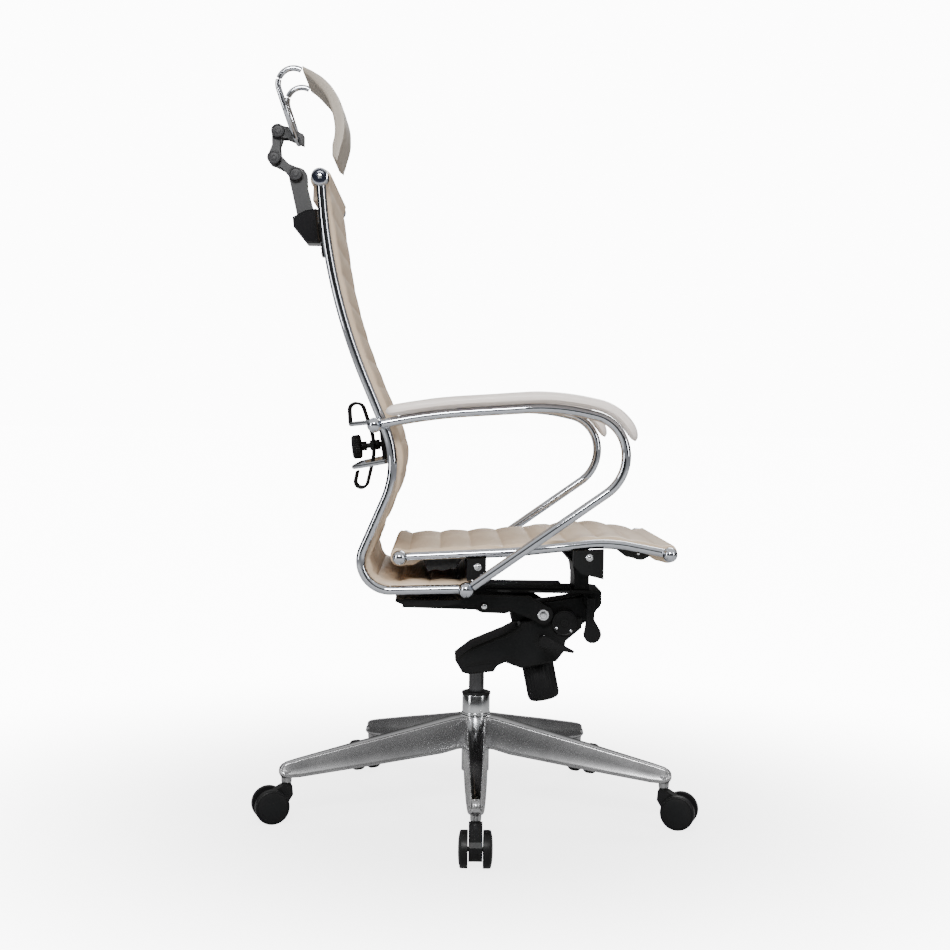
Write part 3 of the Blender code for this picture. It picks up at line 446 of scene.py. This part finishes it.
WHEEL = ((0.0044, 0.0), (0.0294, 0.0), (0.0300, 0.0010), (0.0300, 0.0098), (0.0297, 0.0112), (0.0288, 0.0124),
         (0.0276, 0.0131), (0.0270, 0.0131), (0.0267, 0.0126), (0.0263, 0.0126), (0.0259, 0.0132), (0.0215,
                                                                                                    0.0144),
         (0.0140, 0.0152), (0.0060, 0.0155), (0.0001, 0.0155))


def make_casters():
    for i in range(5):
        here = arm_turn(i) @ Matrix.Translation((AXLE_R, 0.0, 0.0))
        for side, letter in ((-1.0, "a"), (1.0, "b")):
            start = here @ Vector((0.0, side * 0.0120, 0.030))
            end = here @ Vector((0.0, side * 1.0, 0.030))
            wheel = turned(WHEEL, start, end, 72)
            make(f"wheel_{i + 1}{letter}", wheel, "caster", f"caster_wheel_{i + 1}{letter}",
                 [f"caster_wheel_{i + 1}{letter}"], 30)
        dress(f"caster_fork_{i + 1}", "caster", 0.0012)
        stem = arm_turn(i) @ Vector((STEM_R, 0.0, 0.0))
        flange = turned([(0.0056, 0.0612), (0.0090, 0.0612), (0.0096, 0.0620), (0.0096, 0.0636),
                         (0.0088, 0.0648),
                         (0.0070, 0.0655), (0.0056, 0.0668)], stem, stem + Vector((0, 0, 1)), 36)
        make(f"caster_flange_{i + 1}", flange, "caster", f"caster_{i + 1}", angle=30)


# ---- Chrome tubes -------------------------------------------------------------------
def make_tubes():
    for side, label in ((-1.0, "right"), (1.0, "left")):
        y = side * SEAT_TUBE_Y
        bm = sweep(bent_at(SEAT_CORNERS, y), round_ring(0.0070, 28))
        make(f"seat_rail_{label}", bm, "chrome", "seat", [f"seat_tube_{label}"])
        ends = bmesh.new()
        for point in (SEAT_REAR, SEAT_FRONT):
            ball((point[0], side * 0.2275, point[1]), 0.0125, ends)
        make(f"seat_balls_{label}", ends, "chrome", "seat")
        y = side * BACK_TUBE_Y
        bm = sweep(bent_at(BACK_CORNERS, y), round_ring(0.0078, 28))
        make(f"back_rail_{label}", bm, "chrome", "back_frame", [f"back_tube_{label}"])
        ends = bmesh.new()
        ball((BACK_BALL[0], side * 0.2300, BACK_BALL[1]), 0.0130, ends)
        ball((ARM_BALL[0], side * 0.2350, ARM_BALL[1]), 0.0125, ends)
        turned([(0.0058, 0.0), (0.0058, 0.016)], (-0.164, y, ARM_BALL[1]),
               (ARM_BALL[0], side * 0.235, ARM_BALL[1]),
               24, ends)
        make(f"back_balls_{label}", ends, "chrome", "back_frame")
        # The boss on the top bar: a chrome ring, a dark disc set in it, and a bright screw.
        centre, out = Vector((BACK_TOP[0], side * 0.2070, BACK_TOP[1])), Vector((0.0, side, 0.0))
        ring = turned([(0.0001, 0.0), (0.0132, 0.0), (0.0142, 0.0010), (0.0145, 0.0030), (0.0145, 0.0235),
                       (0.0140, 0.0258), (0.0128, 0.0268), (0.0116, 0.0262), (0.0112, 0.0240), (0.0001, 0.0240)],
                      centre, centre + out, 64)
        make(f"boss_ring_{label}", ring, "chrome", "back_frame")
        disc = turned([(0.0110, 0.0236), (0.0110, 0.0246), (0.0100, 0.0252), (0.0060, 0.0254),
                       (0.0052, 0.0246),
                       (0.0001, 0.0244)], centre, centre + out, 48)
        make(f"boss_disc_{label}", disc, "navy_black", "back_frame")
        screw = turned([(0.0046, 0.0240), (0.0046, 0.0254), (0.0040, 0.0262), (0.0022, 0.0264),
                        (0.0020, 0.0250),
                        (0.0001, 0.0250)], centre, centre + out, 6)
        make(f"boss_screw_{label}", screw, "bright_bolt", "back_frame", angle=20)


def make_arms():
    line = flat(ARM_CORNERS)
    route, _ = evenly(line, 400)
    kept = [p for p in route if (p - Vector(ARM_BALL)).length > 0.0115 and (p - Vector(BACK_BALL)).length > 0.0120]
    covered, pad_length = evenly([p for p in route if p.x > -0.160 and p.y > 0.668], 110)
    sides = normals(covered)
    for side, label in ((-1.0, "right"), (1.0, "left")):
        y = side * ARM_Y
        bm = sweep([Vector((p.x, y, p.y)) for p in kept], round_ring(0.0080, 28))
        make(f"arm_rail_{label}", bm, "chrome", "back_frame", [f"arm_tube_{label}"])
        make_arm_pad(covered, sides, pad_length, y, label)


def make_arm_pad(covered, sides, pad_length, y, label):
    """A stuffed leather pad on the arm: rounded at both ends, with a welt along its lower edge."""
    rings = []
    for i, (point, normal) in enumerate(zip(covered, sides)):
        reach = pad_length * i / (len(covered) - 1)
        rear, front = reach, pad_length - reach
        rise = math.sqrt(max(0.02, 1.0 - max(0.0, 1.0 - rear / 0.020) ** 2))
        drop = math.sqrt(max(0.02, 1.0 - max(0.0, 1.0 - front / 0.024) ** 2))
        grow = min(rise, drop) * (0.86 + 0.14 * smooth(0.0, 0.060, min(rear, front)))
        half, thick = 0.0265 * grow, 0.0192 * min(rise, drop)
        ring = []
        for k in range(36):
            a = math.tau * k / 36
            across = math.copysign(abs(math.cos(a)) ** 0.72, math.cos(a)) * half
            high = math.copysign(abs(math.sin(a)) ** 0.80, math.sin(a))
            lift = 0.0087 + 0.0096 + high * thick / 2
            welt = 0.0010 * math.exp(-((high + 0.42) / 0.10) ** 2) * (1 if abs(math.cos(a)) > 0.4 else 0)
            wave = 0.0005 * noise.noise(Vector((reach * 26, a * 1.2, 3.0 + y)))
            ring.append(Vector((point.x + normal.x * (lift + wave), y + across + math.copysign(welt, across),
                                point.y + normal.y * (lift + wave))))
        rings.append(ring)
    bm = bmesh.new()
    skin(bm, rings)
    pad = make(f"arm_cushion_{label}", bm, "pale_leather", "back_frame", [f"arm_pad_{label}"], 60)


# ---- Cushions -----------------------------------------------------------------------
def across_stations(half, edge):
    """Places across a cushion, close together at its rolled edges."""
    near = [edge * (1 - math.cos(math.radians(90 * i / 8))) for i in range(9)]
    seam = [edge + 0.0015 * i for i in range(1, 9)]
    first = [-half + d for d in near + seam]
    inner = [first[-1] + (-2 * first[-1]) * i / 40 for i in range(1, 40)]
    return first + inner + [-y for y in first[::-1]]


def close_side(bm, ring, start, count, wrapped):
    """Closes one side of a cushion with quads from its front face to its rear face."""
    front = ring[start:start + count]
    rear = ring[:-count - 1:-1]
    for a, b, c, d in zip(front, front[1:], rear[1:], rear):
        bm.faces.new((a, b, c, d))
    if wrapped:
        bm.faces.new([rear[0]] + ring[:start] + [front[0]])
        bm.faces.new([front[-1]] + ring[start + count:-count] + [rear[-1]])


def cushion(name, line, front, rear, half, edge, wraps, relief, finish_name, body, nodes):
    """A crowned cushion along a run of points, rolled at its sides and wrapped round its end bars.
    front and rear give the offsets from the run, and relief shapes the sewn front face."""
    sides = normals(line)
    rings = []
    for y in across_stations(half, edge):
        inside = min(1.0, (half - abs(y)) / edge)
        roll = math.sqrt(max(0.0, 1.0 - (1.0 - inside) ** 2))
        keep = 0.10 + 0.90 * roll
        ring = []
        if wraps:
            centre, points = wraps[0]
            ring += [Vector(centre).lerp(p, 0.86 + 0.14 * roll) for p in points]
        for i, (p, n) in enumerate(zip(line, sides)):
            part = i / (len(line) - 1)
            ring.append(p + n * (front(part) * keep + relief(part, y, roll)))
        if wraps:
            centre, points = wraps[1]
            ring += [Vector(centre).lerp(p, 0.86 + 0.14 * roll) for p in points]
        for i in range(len(line) - 1, -1, -1):
            part = i / (len(line) - 1)
            ring.append(line[i] + sides[i] * (-rear(part) * keep))
        rings.append([Vector((p.x, y, p.y)) for p in ring])
    bm = bmesh.new()
    made = skin(bm, rings, caps=False)
    start = len(wraps[0][1]) if wraps else 0
    for ring in (made[0], made[-1]):
        close_side(bm, ring, start, len(line), wraps is not None)
    obj = make(name, bm, finish_name, body, nodes, 75)
    return obj


def pillow(reach, pitch, sharp=0.5):
    """The height between two sewn seams, 0 at a seam and 1 between them."""
    return abs(math.sin(math.pi * reach / pitch)) ** sharp


def wrinkle(x, y, scale, seed):
    return noise.noise(Vector((x * scale, y * scale * 0.35, seed)))


def make_seat():
    # The run stops short of the bars, where the leather leaves the wraps.
    route, _ = evenly(flat(SEAT_CORNERS), 600)
    line, reach = evenly([p for p in route if SEAT_REAR[0] + 0.014 < p.x < SEAT_FRONT[0] - 0.012], 230)
    pitch = reach / 8

    def relief(part, y, roll):
        edge_seam = 0.55 + 0.45 * smooth(0.004, 0.016, PAD_HALF - 0.010 - abs(y))
        puff = (pillow(part * reach, pitch, 0.62) - 1.0) * 0.0058 * edge_seam
        seam = -0.0012 * math.exp(-((PAD_HALF - 0.0125 - abs(y)) / 0.0014) ** 2)
        crown = 0.0018 * (1.0 - (y / PAD_HALF) ** 2)
        folds = 0.0009 * wrinkle(part * reach, y, 60.0, 1.7) * roll
        pull = 0.0007 * math.sin(y * 190.0 + 2.0 * wrinkle(part, y, 9.0, 4.0)) * (1 - pillow(part * reach,
                                                                                             pitch, 0.6))
        return puff + seam + crown + folds + pull

    wraps = (
        (SEAT_REAR, arc(SEAT_REAR, 0.0166, -70, -242, 22)),
        (SEAT_FRONT, arc(SEAT_FRONT, 0.0166, 62, -112, 22)),
    )
    def underside(part):
        return 0.0078 + 0.0080 * (1 - smooth(0.01, 0.06, part)) + 0.0080 * smooth(0.95, 0.99, part)

    cushion("seat_cushion", line, lambda part: 0.0118, underside, PAD_HALF, 0.0085, wraps, relief,
            "leather", "seat", ["seat_pad"])
    # The cloth under the cushion hangs in a pocket behind the rear bracket and in a wedge at the front.
    under, reach = evenly([p for p in route if -0.098 < p.x < 0.290], 160)

    def sag(part):
        pocket = 0.0165 * (1 - smooth(0.13, 0.17, part)) * smooth(0.0, 0.02, part)
        wedge = 0.0100 * smooth(0.84, 0.90, part) * (1 - smooth(0.96, 1.0, part))
        wave = 0.0012 * math.sin(part * 95.0) * (pocket + wedge) / 0.0165
        return 0.0101 + pocket + wedge + wave

    cushion("seat_backing", under, lambda part: -0.0084, sag, 0.1960, 0.004, None, lambda part, y, roll: 0.0,
            "black_cloth", "seat", ["seat_underlay"])
    for label, point in (("rear", SEAT_REAR), ("front", SEAT_FRONT)):
        bar = turned([(0.0001, 0.0), (0.0078, 0.0), (0.0080, 0.0005), (0.0080, 0.4085), (0.0078, 0.409),
                      (0.0001, 0.409)],
                     (point[0], -0.2045, point[1]), (point[0], 0.0, point[1]), 40)
        make(f"seat_cross_{label}", bar, "black_steel", "seat", [f"seat_{label}_bar"])


def make_back():
    route, _ = evenly(flat(BACK_CORNERS), 900)
    line, reach = evenly([p for p in route if p.y < BACK_TOP[1] - 0.010 and p.x < BACK_BALL[0] - 0.010], 430)
    depths = ((0.0, 0.0125), (0.10, 0.0160), (0.45, 0.0170), (0.54, 0.0190), (0.64, 0.0150), (0.71, 0.0140),
              (0.80, 0.0180), (1.0, 0.0120))
    pitch = reach / 17

    def relief(part, y, roll):
        edge_seam = 0.50 + 0.50 * smooth(0.004, 0.016, PAD_HALF - 0.010 - abs(y))
        deep = 0.0022 + 0.0026 * smooth(0.45, 0.60, part)
        puff = (pillow(part * reach, pitch) - 1.0) * deep * edge_seam
        seam = -0.0012 * math.exp(-((PAD_HALF - 0.0125 - abs(y)) / 0.0014) ** 2)
        bend = smooth(0.62, 0.72, part) * (1.0 - smooth(0.86, 0.95, part))
        folds = (0.0007 + 0.0014 * bend) * wrinkle(part * reach, y, 55.0, 6.1) * roll
        rays = 0.0013 * bend * math.sin(y * 150.0 + part * 40.0 + 3.0 * wrinkle(part, y, 7.0, 2.0)) * roll
        return puff + seam + folds + rays * edge_seam

    wraps = (
        (BACK_TOP, arc(BACK_TOP, 0.0180, 200, 22, 24)),
        (BACK_BALL, arc(BACK_BALL, 0.0124, 78, -112, 22)),
    )
    cushion("back_cushion", line, lambda part: level(depths, part), lambda part: 0.0006, PAD_HALF, 0.0085,
            wraps,
            relief, "leather", "back_frame", ["back_pad"])
    flap = plate(((-0.2895, 1.064), (-0.2885, 1.094), (-0.2810, 1.096), (-0.2800, 1.064)), -0.1900, 0.1900)
    soften(make("back_flap", flap, "tan_leather", "back_frame"), 0.0015)
    for label, point in (("top", BACK_TOP), ("bottom", BACK_BALL)):
        bar = turned([(0.0001, 0.0), (0.0078, 0.0), (0.0080, 0.0005), (0.0080, 0.4085), (0.0078, 0.409),
                      (0.0001, 0.409)],
                     (point[0], -0.2045, point[1]), (point[0], 0.0, point[1]), 40)
        make(f"back_cross_{label}", bar, "black_steel", "back_frame", [f"back_{label}_bar"])


# ---- Mechanism and controls ----------------------------------------------------------
def make_mechanism():
    dress("mechanism_housing", "black_steel", 0.0022)
    dress("back_lever", "black_steel", 0.0010)
    dress("seat_carrier", "black_steel", 0.0008)
    dress("seat_bracket_front", "black_steel", 0.0010)
    dress("seat_bracket_rear", "black_steel", 0.0010)
    dress("height_lever", "black_plastic", 0.0012)
    dress("depth_paddle", "black_plastic", 0.0010)
    dress("tilt_shaft", "chrome", 0.0008)
    trim = bmesh.new()
    for side in (-1.0, 1.0):
        out = (0.0, side, 0.0)
        dome((LINK_RIVET[0], side * 0.0722, LINK_RIVET[1]), out, 0.0052, 0.0024, trim)
    make("link_rivets", trim, "bright_bolt", "back_frame")
    bolts = bmesh.new()
    for side in (-1.0, 1.0):
        out = (0.0, side, 0.0)
        turned([(0.0098, 0.0), (0.0098, 0.0008), (0.0092, 0.0012), (0.0066, 0.0012)],
               (TILT_PIVOT[0], side * 0.0703, TILT_PIVOT[1]), (TILT_PIVOT[0], side, TILT_PIVOT[1]), 36, bolts)
        turned([(0.0066, 0.0), (0.0066, 0.0040), (0.0058, 0.0050), (0.0030, 0.0052), (0.0028, 0.0036),
                (0.0001, 0.0036)],
               (TILT_PIVOT[0], side * 0.0714, TILT_PIVOT[1]), (TILT_PIVOT[0], side, TILT_PIVOT[1]), 6, bolts)
        # The chamber's round cover has a raised rim and two screws.
        start = (0.153, side * 0.0585, 0.347)
        for x, z in ((0.139, 0.338), (0.165, 0.333)):
            dome((x, side * 0.0590, z), out, 0.0026, 0.0014, bolts)
    make("tilt_bolts", bolts, "bright_bolt", "mechanism", angle=30)
    rims = bmesh.new()
    for side in (-1.0, 1.0):
        start = (0.153, side * 0.0583, 0.347)
        turned([(0.0192, 0.0), (0.0194, 0.0012), (0.0204, 0.0018), (0.0216, 0.0018), (0.0226, 0.0010),
                (0.0229, 0.0)],
               start, (0.153, side, 0.347), 56, rims)
        turned([(0.0075, 0.0), (0.0075, 0.0012), (0.0068, 0.0018), (0.0040, 0.0018), (0.0036, 0.0010)],
               start, (0.153, side, 0.347), 36, rims)
        # Cast ribs step down the housing's flank.
        for x0, z0, x1, z1 in ((-0.020, 0.290, 0.040, 0.3165), (0.050, 0.319, 0.078, 0.334),
                               (-0.020, 0.268, 0.030, 0.276)):
            run = Vector((x1 - x0, z1 - z0)).normalized() * 0.0012
            outline = [(x0 - run.y, z0 + run.x), (x0 + run.y, z0 - run.x), (x1 + run.y, z1 - run.x),
                       (x1 - run.y, z1 + run.x)]
            plate(outline, side * 0.0555, side * 0.0574, rims)
    make("housing_ribs", rims, "black_steel", "mechanism", angle=35)
    bolts = bmesh.new()
    for side in (-1.0, 1.0):
        out = (0.0, side, 0.0)
        for x, z in ((-0.006, 0.4600), (0.180, 0.4780)):
            dome((x, side * 0.2192, z), out, 0.0042, 0.0022, bolts)
            turned([(0.0060, -0.0008), (0.0060, 0.0006), (0.0054, 0.0010)], (x, side * 0.2188, z),
                   (x, side, z), 28, bolts)
        for x in (-0.016, 0.262):
            dome((x, side * 0.2120, 0.4705 if x < 0 else 0.4855), (0.0, 0.0, -1.0), 0.0028, 0.0020, bolts)
    make("bracket_bolts", bolts, "bright_bolt", "seat", angle=30)
    knob = turned([(0.0001, 0.0), (0.0245, 0.0), (0.0262, 0.0008), (0.0272, 0.0030), (0.0278, 0.0060),
                   (0.0283, 0.0065), (0.0283, 0.0590), (0.0276, 0.0630), (0.0256, 0.0662), (0.0226, 0.0676),
                   (0.0120, 0.0679), (0.0001, 0.0679)],
                  (0.1095, 0.0, 0.2685), (0.1235, 0.0, 0.2020), 144, None, 28, 0.0006, (0.0064, 0.0592))
    make("tension_grip", knob, "black_plastic", "tension_knob", ["tension_knob"], 50)
    slots = bmesh.new()
    for x in (0.045, 0.100, 0.150):
        ring = [(x + 0.012 * math.copysign(abs(math.cos(a)) ** 0.5, math.cos(a)),
                 0.4022 + 0.0014 * math.sin(a))
                for a in [math.tau * k / 24 for k in range(24)]]
        for side in (-1.0, 1.0):
            plate(ring, side * 0.0560, side * 0.0566, slots)
    make("carrier_slots", slots, "gloss_black", "seat_carrier")
    # The spring's chamber fills the space between the two flanks, below the carrier at its steepest.
    chamber = plate(((0.060, 0.345), (0.058, 0.3715), (0.095, 0.3775), (0.150, 0.3865), (0.190, 0.3945),
                     (0.196, 0.3700), (0.200, 0.350)), -0.0350, 0.0350)
    soften(make("spring_chamber", chamber, "black_steel", "mechanism"), 0.003)


# ---- Lumbar support -----------------------------------------------------------------
def lumbar_point(distance):
    return (LUMBAR_KNOB[0] + distance * math.cos(LUMBAR_SLOPE), 0.0,
            LUMBAR_KNOB[1] + distance * math.sin(LUMBAR_SLOPE))


def make_lumbar():
    bows = {"upper": ((-0.1760, 0.6995), (-0.2260, 0.6935)), "lower": ((-0.1610, 0.6330), (-0.2200, 0.6200))}
    for label, (end, apex) in bows.items():
        corners = [(end[0], y, end[1], 0.0) for y in (-0.2072, 0.2072)]
        corners[1:1] = [(apex[0], y, apex[1], 0.080) for y in (-0.135, 0.135)]
        bow = sweep(bent(corners), round_ring(0.0040, 20), (0.0, 0.0, 1.0))
        make(f"lumbar_bow_{label}", bow, "chrome", "back_frame", [f"lumbar_rod_{label}"])
    hook = ((-0.2334, 0.696, 0.0), (-0.236, 0.733, 0.012), (-0.212, 0.729, 0.012), (-0.186, 0.655, 0.12),
            (-0.2035, 0.577, 0.011), (-0.2245, 0.583, 0.011), (-0.2195, 0.608, 0.0))
    wires = bmesh.new()
    for y in (-0.025, 0.025):
        sweep(bent_at(hook, y), round_ring(0.0025, 14), bm=wires)
        for end in (hook[0], hook[-1]):
            ball((end[0], y, end[1]), 0.0025, wires)
    plate(((-0.1945, 0.650), (-0.1885, 0.650), (-0.1885, 0.662), (-0.1945, 0.662)), -0.025, 0.025, wires)
    turned([(0.0054, 0.0), (0.0084, 0.0), (0.0090, 0.0008), (0.0090, 0.0175), (0.0084, 0.0184),
            (0.0054, 0.0184)],
           lumbar_point(0.0236), lumbar_point(1.0), 36, wires)
    make("lumbar_wires", wires, "black_steel", "back_frame", ["lumbar_carrier"])
    start, end = lumbar_point(-0.0088), lumbar_point(1.0)
    knob = turned([(0.0001, 0.0006), (0.0120, 0.0004), (0.0178, 0.0000), (0.0196, 0.0010), (0.0206, 0.0026),
                   (0.0210, 0.0030), (0.0210, 0.0146), (0.0206, 0.0150), (0.0192, 0.0170), (0.0160, 0.0176),
                   (0.0082, 0.0176), (0.0082, 0.0262), (0.0076, 0.0268), (0.0049, 0.0268), (0.0049, 0.0555),
                   (0.0001, 0.0556)], start, end, 144, None, 36, 0.0005, (0.0028, 0.0148))
    make("lumbar_grip", knob, "black_plastic", "lumbar_knob", ["lumbar_knob"], 45)
    dress("lumbar_plate", "black_plastic", 0.0012)


# ---- Headrest -----------------------------------------------------------------------
def make_headrest():
    for node in ("headrest_link_lower", "headrest_link_upper", "headrest_block", "headrest_stalk"):
        dress(node, "grey_plastic", 0.0016)
    dress("headrest_slider", "gloss_black", 0.0022)
    dress("headrest_rail", "chrome", 0.0008)
    place = Matrix.Translation((-0.2905, 0.0, 1.0550)) @ Matrix.Rotation(-math.radians(5.5), 4, "Y")
    teeth = bmesh.new()
    for i in range(10):
        z = -0.060 + 0.0085 * i
        corners = [place @ Vector((x, y, z + d)) for d, half in ((0.0, 0.0105), (0.0030, 0.0105))
                   for x, y in ((-0.0028, -half), (-0.0040, -half), (-0.0040, half), (-0.0028, half))]
        skin(teeth, [corners[:4], corners[4:]])
    make("rail_teeth", teeth, "chrome", "back_frame")
    mirrored = tuple((x, -y, z, radius) for x, y, z, radius in HEADREST_CORNERS[::-1])
    path = bent(HEADREST_CORNERS + mirrored)
    make("headrest_bow", sweep(path, round_ring(0.00525, 22), (0.3, 0.0, 1.0)), "chrome", "headrest",
         ["headrest_tube"])
    bodies = ("headrest_carriage", "headrest_link_lower", "headrest_link_upper")
    for i, (point, body) in enumerate(zip(HEADREST_PIVOTS, bodies)):
        knobs = bmesh.new()
        turned([(0.0040, -0.0190), (0.0040, 0.0190)], (point[0], 0.0, point[1]), (point[0], 1.0, point[1]),
               24, knobs)
        for side in (-1.0, 1.0):
            turned([(0.0040, 0.0), (0.0112, 0.0), (0.0119, 0.0008), (0.0120, 0.0036), (0.0114, 0.0047),
                    (0.0100, 0.0051), (0.0088, 0.0046), (0.0082, 0.0036), (0.0056, 0.0036), (0.0050, 0.0040),
                    (0.0034, 0.0040), (0.0030, 0.0028), (0.0001, 0.0028)],
                   (point[0], side * 0.0173, point[1]), (point[0], side, point[1]), 56, knobs)
        make(f"pivot_knob_{i + 1}", knobs, "grey_plastic", body, [f"headrest_bolt_{i + 1}"], 35)
    make_headrest_pad()


def make_headrest_pad():
    line, reach = evenly(flat(HEADREST_CORE), 120)
    thick = ((0.0, 0.0100), (0.25, 0.0165), (0.55, 0.0205), (0.85, 0.0180), (1.0, 0.0120))

    def end_round(part):
        near = min(part, 1.0 - part) * reach
        return math.sqrt(max(0.01, 1.0 - max(0.0, 1.0 - near / 0.008) ** 2))

    def relief(part, y, roll):
        near = min(min(part, 1.0 - part) * reach, 0.088 - abs(y))
        welt = 0.0009 * math.exp(-((near - 0.0070) / 0.0012) ** 2)
        crown = 0.0012 * (1.0 - (y / 0.088) ** 2)
        return (welt + crown * roll + 0.0006 * wrinkle(part * reach, y, 60.0,
                                                       8.0) * roll) * end_round(part) - 0.0022

    def rear(part):
        return level(thick, part) * end_round(part)

    cushion("headrest_cushion", line, lambda part: 0.0012 * end_round(part), rear, 0.088, 0.0080, None,
            relief, "greige_leather", "headrest", ["headrest_pad"])


# ---- Camera and studio --------------------------------------------------------------
def make_camera():
    data = bpy.data.cameras.new("camera")
    data.lens = CAMERA_LENS_MM
    data.sensor_width = 36.0
    camera = bpy.data.objects.new("camera", data)
    bpy.context.scene.collection.objects.link(camera)
    place = Vector((SWIVEL.x, SWIVEL.y, 0.0)) + CAMERA_FROM_SWIVEL
    turn = Matrix.Rotation(math.radians(-CAMERA_YAW_DEG), 4, "Z")
    turn = turn @ Matrix.Rotation(math.radians(90.0 - CAMERA_PITCH_DEG), 4, "X")
    camera.matrix_world = Matrix.Translation(place) @ turn @ Matrix.Rotation(math.radians(CAMERA_ROLL_DEG),
                                                                             4, "Z")
    bpy.context.scene.camera = camera


def area_light(name, place, target, size, power):
    data = bpy.data.lights.new(name, "AREA")
    data.shape = "RECTANGLE"
    data.size, data.size_y = size
    data.energy = power
    light = bpy.data.objects.new(name, data)
    light.location = place
    light.rotation_euler = (Vector(target) - Vector(place)).to_track_quat("-Z", "Y").to_euler()
    bpy.context.scene.collection.objects.link(light)


def seen_or_lit(tree, seen, lit):
    """A strength that is one thing for what is seen directly, and another for the light it gives."""
    path = tree.nodes.new("ShaderNodeLightPath")
    mix = tree.nodes.new("ShaderNodeMix")
    mix.data_type = "FLOAT"
    tree.links.new(path.outputs["Is Camera Ray"], mix.inputs["Factor"])
    for socket, value in (("B", seen), ("A", lit)):
        if isinstance(value, float):
            mix.inputs[socket].default_value = value
        else:
            tree.links.new(value, mix.inputs[socket])
    return mix.outputs["Result"]


def make_world():
    """A white backdrop; the light it gives comes mostly from above, and little from the horizon."""
    world = bpy.data.worlds.new("studio")
    world.use_nodes = True
    tree = world.node_tree
    place = tree.nodes.new("ShaderNodeTexCoord")
    axes = tree.nodes.new("ShaderNodeSeparateXYZ")
    tree.links.new(place.outputs["Generated"], axes.inputs["Vector"])
    rise = tree.nodes.new("ShaderNodeMapRange")
    rise.interpolation_type = "SMOOTHSTEP"
    for socket, value in (("From Min", 0.10), ("From Max", 0.75), ("To Min", WORLD_LOW),
                          ("To Max", WORLD_HIGH)):
        rise.inputs[socket].default_value = value
    tree.links.new(axes.outputs["Z"], rise.inputs["Value"])
    strength = seen_or_lit(tree, BACKDROP, rise.outputs["Result"])
    tree.links.new(strength, tree.nodes["Background"].inputs["Strength"])
    tree.nodes["Background"].inputs["Color"].default_value = (1.0, 1.0, 1.0, 1.0)
    bpy.context.scene.world = world


def stage_piece(name, corners, colour, rough, glow=None):
    mesh = bpy.data.meshes.new(name)
    mesh.from_pydata(corners, [], [(0, 1, 2, 3)])
    obj = bpy.data.objects.new(name, mesh)
    bpy.context.scene.collection.objects.link(obj)
    material = bpy.data.materials.new(name)
    material.use_nodes = True
    shader = material.node_tree.nodes["Principled BSDF"]
    shader.inputs["Base Color"].default_value = colour
    shader.inputs["Roughness"].default_value = rough
    shader.inputs["Emission Color"].default_value = (1.0, 1.0, 1.0, 1.0)
    mesh.materials.append(material)
    if glow:
        # The floor glows to the camera only and brightens away from the chair, so that it runs into the wall. The
        # weaker glow near the chair is painted shade round it, and the soft cast shadow shows through it.
        tree = material.node_tree
        place = tree.nodes.new("ShaderNodeTexCoord")
        reach = tree.nodes.new("ShaderNodeVectorMath")
        reach.operation = "LENGTH"
        tree.links.new(place.outputs["Object"], reach.inputs[0])
        fade = tree.nodes.new("ShaderNodeMapRange")
        fade.interpolation_type = "SMOOTHSTEP"
        for socket, value in (("From Min", 0.25), ("From Max", 1.6), ("To Min", glow[0]),
                              ("To Max", glow[1])):
            fade.inputs[socket].default_value = value
        tree.links.new(reach.outputs["Value"], fade.inputs["Value"])
        strength = seen_or_lit(tree, fade.outputs["Result"], 0.0)
        tree.links.new(strength, shader.inputs["Emission Strength"])


BACKDROP = 12.0
WORLD_LOW = 0.03
WORLD_HIGH = 0.95
# Floor glow seen only by the camera: low near the chair, which is painted shade round it, and high far away.
FLOOR_GLOW = (3.4, 12.0)


def make_studio():
    make_world()
    area_light("key", (-0.4, -3.2, 2.5), (0.0, 0.0, 0.6), (1.1, 0.7), 145.0)
    area_light("left", (-2.4, -1.5, 1.2), (0.0, 0.0, 0.6), (0.35, 1.8), 30.0)
    area_light("right", (2.3, -1.7, 1.4), (0.0, 0.0, 0.6), (0.35, 1.6), 26.0)
    area_light("rim", (0.9, 2.2, 2.3), (0.0, 0.0, 0.6), (1.4, 0.6), 36.0)
    half = 60.0
    stage_piece("floor", [(-half, -half, 0), (half, -half, 0), (half, half, 0), (-half, half, 0)],
                (0.45, 0.45, 0.45, 1.0), 0.8, FLOOR_GLOW)


make_base()
make_casters()
make_tubes()
make_arms()
make_seat()
make_back()
make_mechanism()
make_lumbar()
make_headrest()
make_camera()
make_studio()
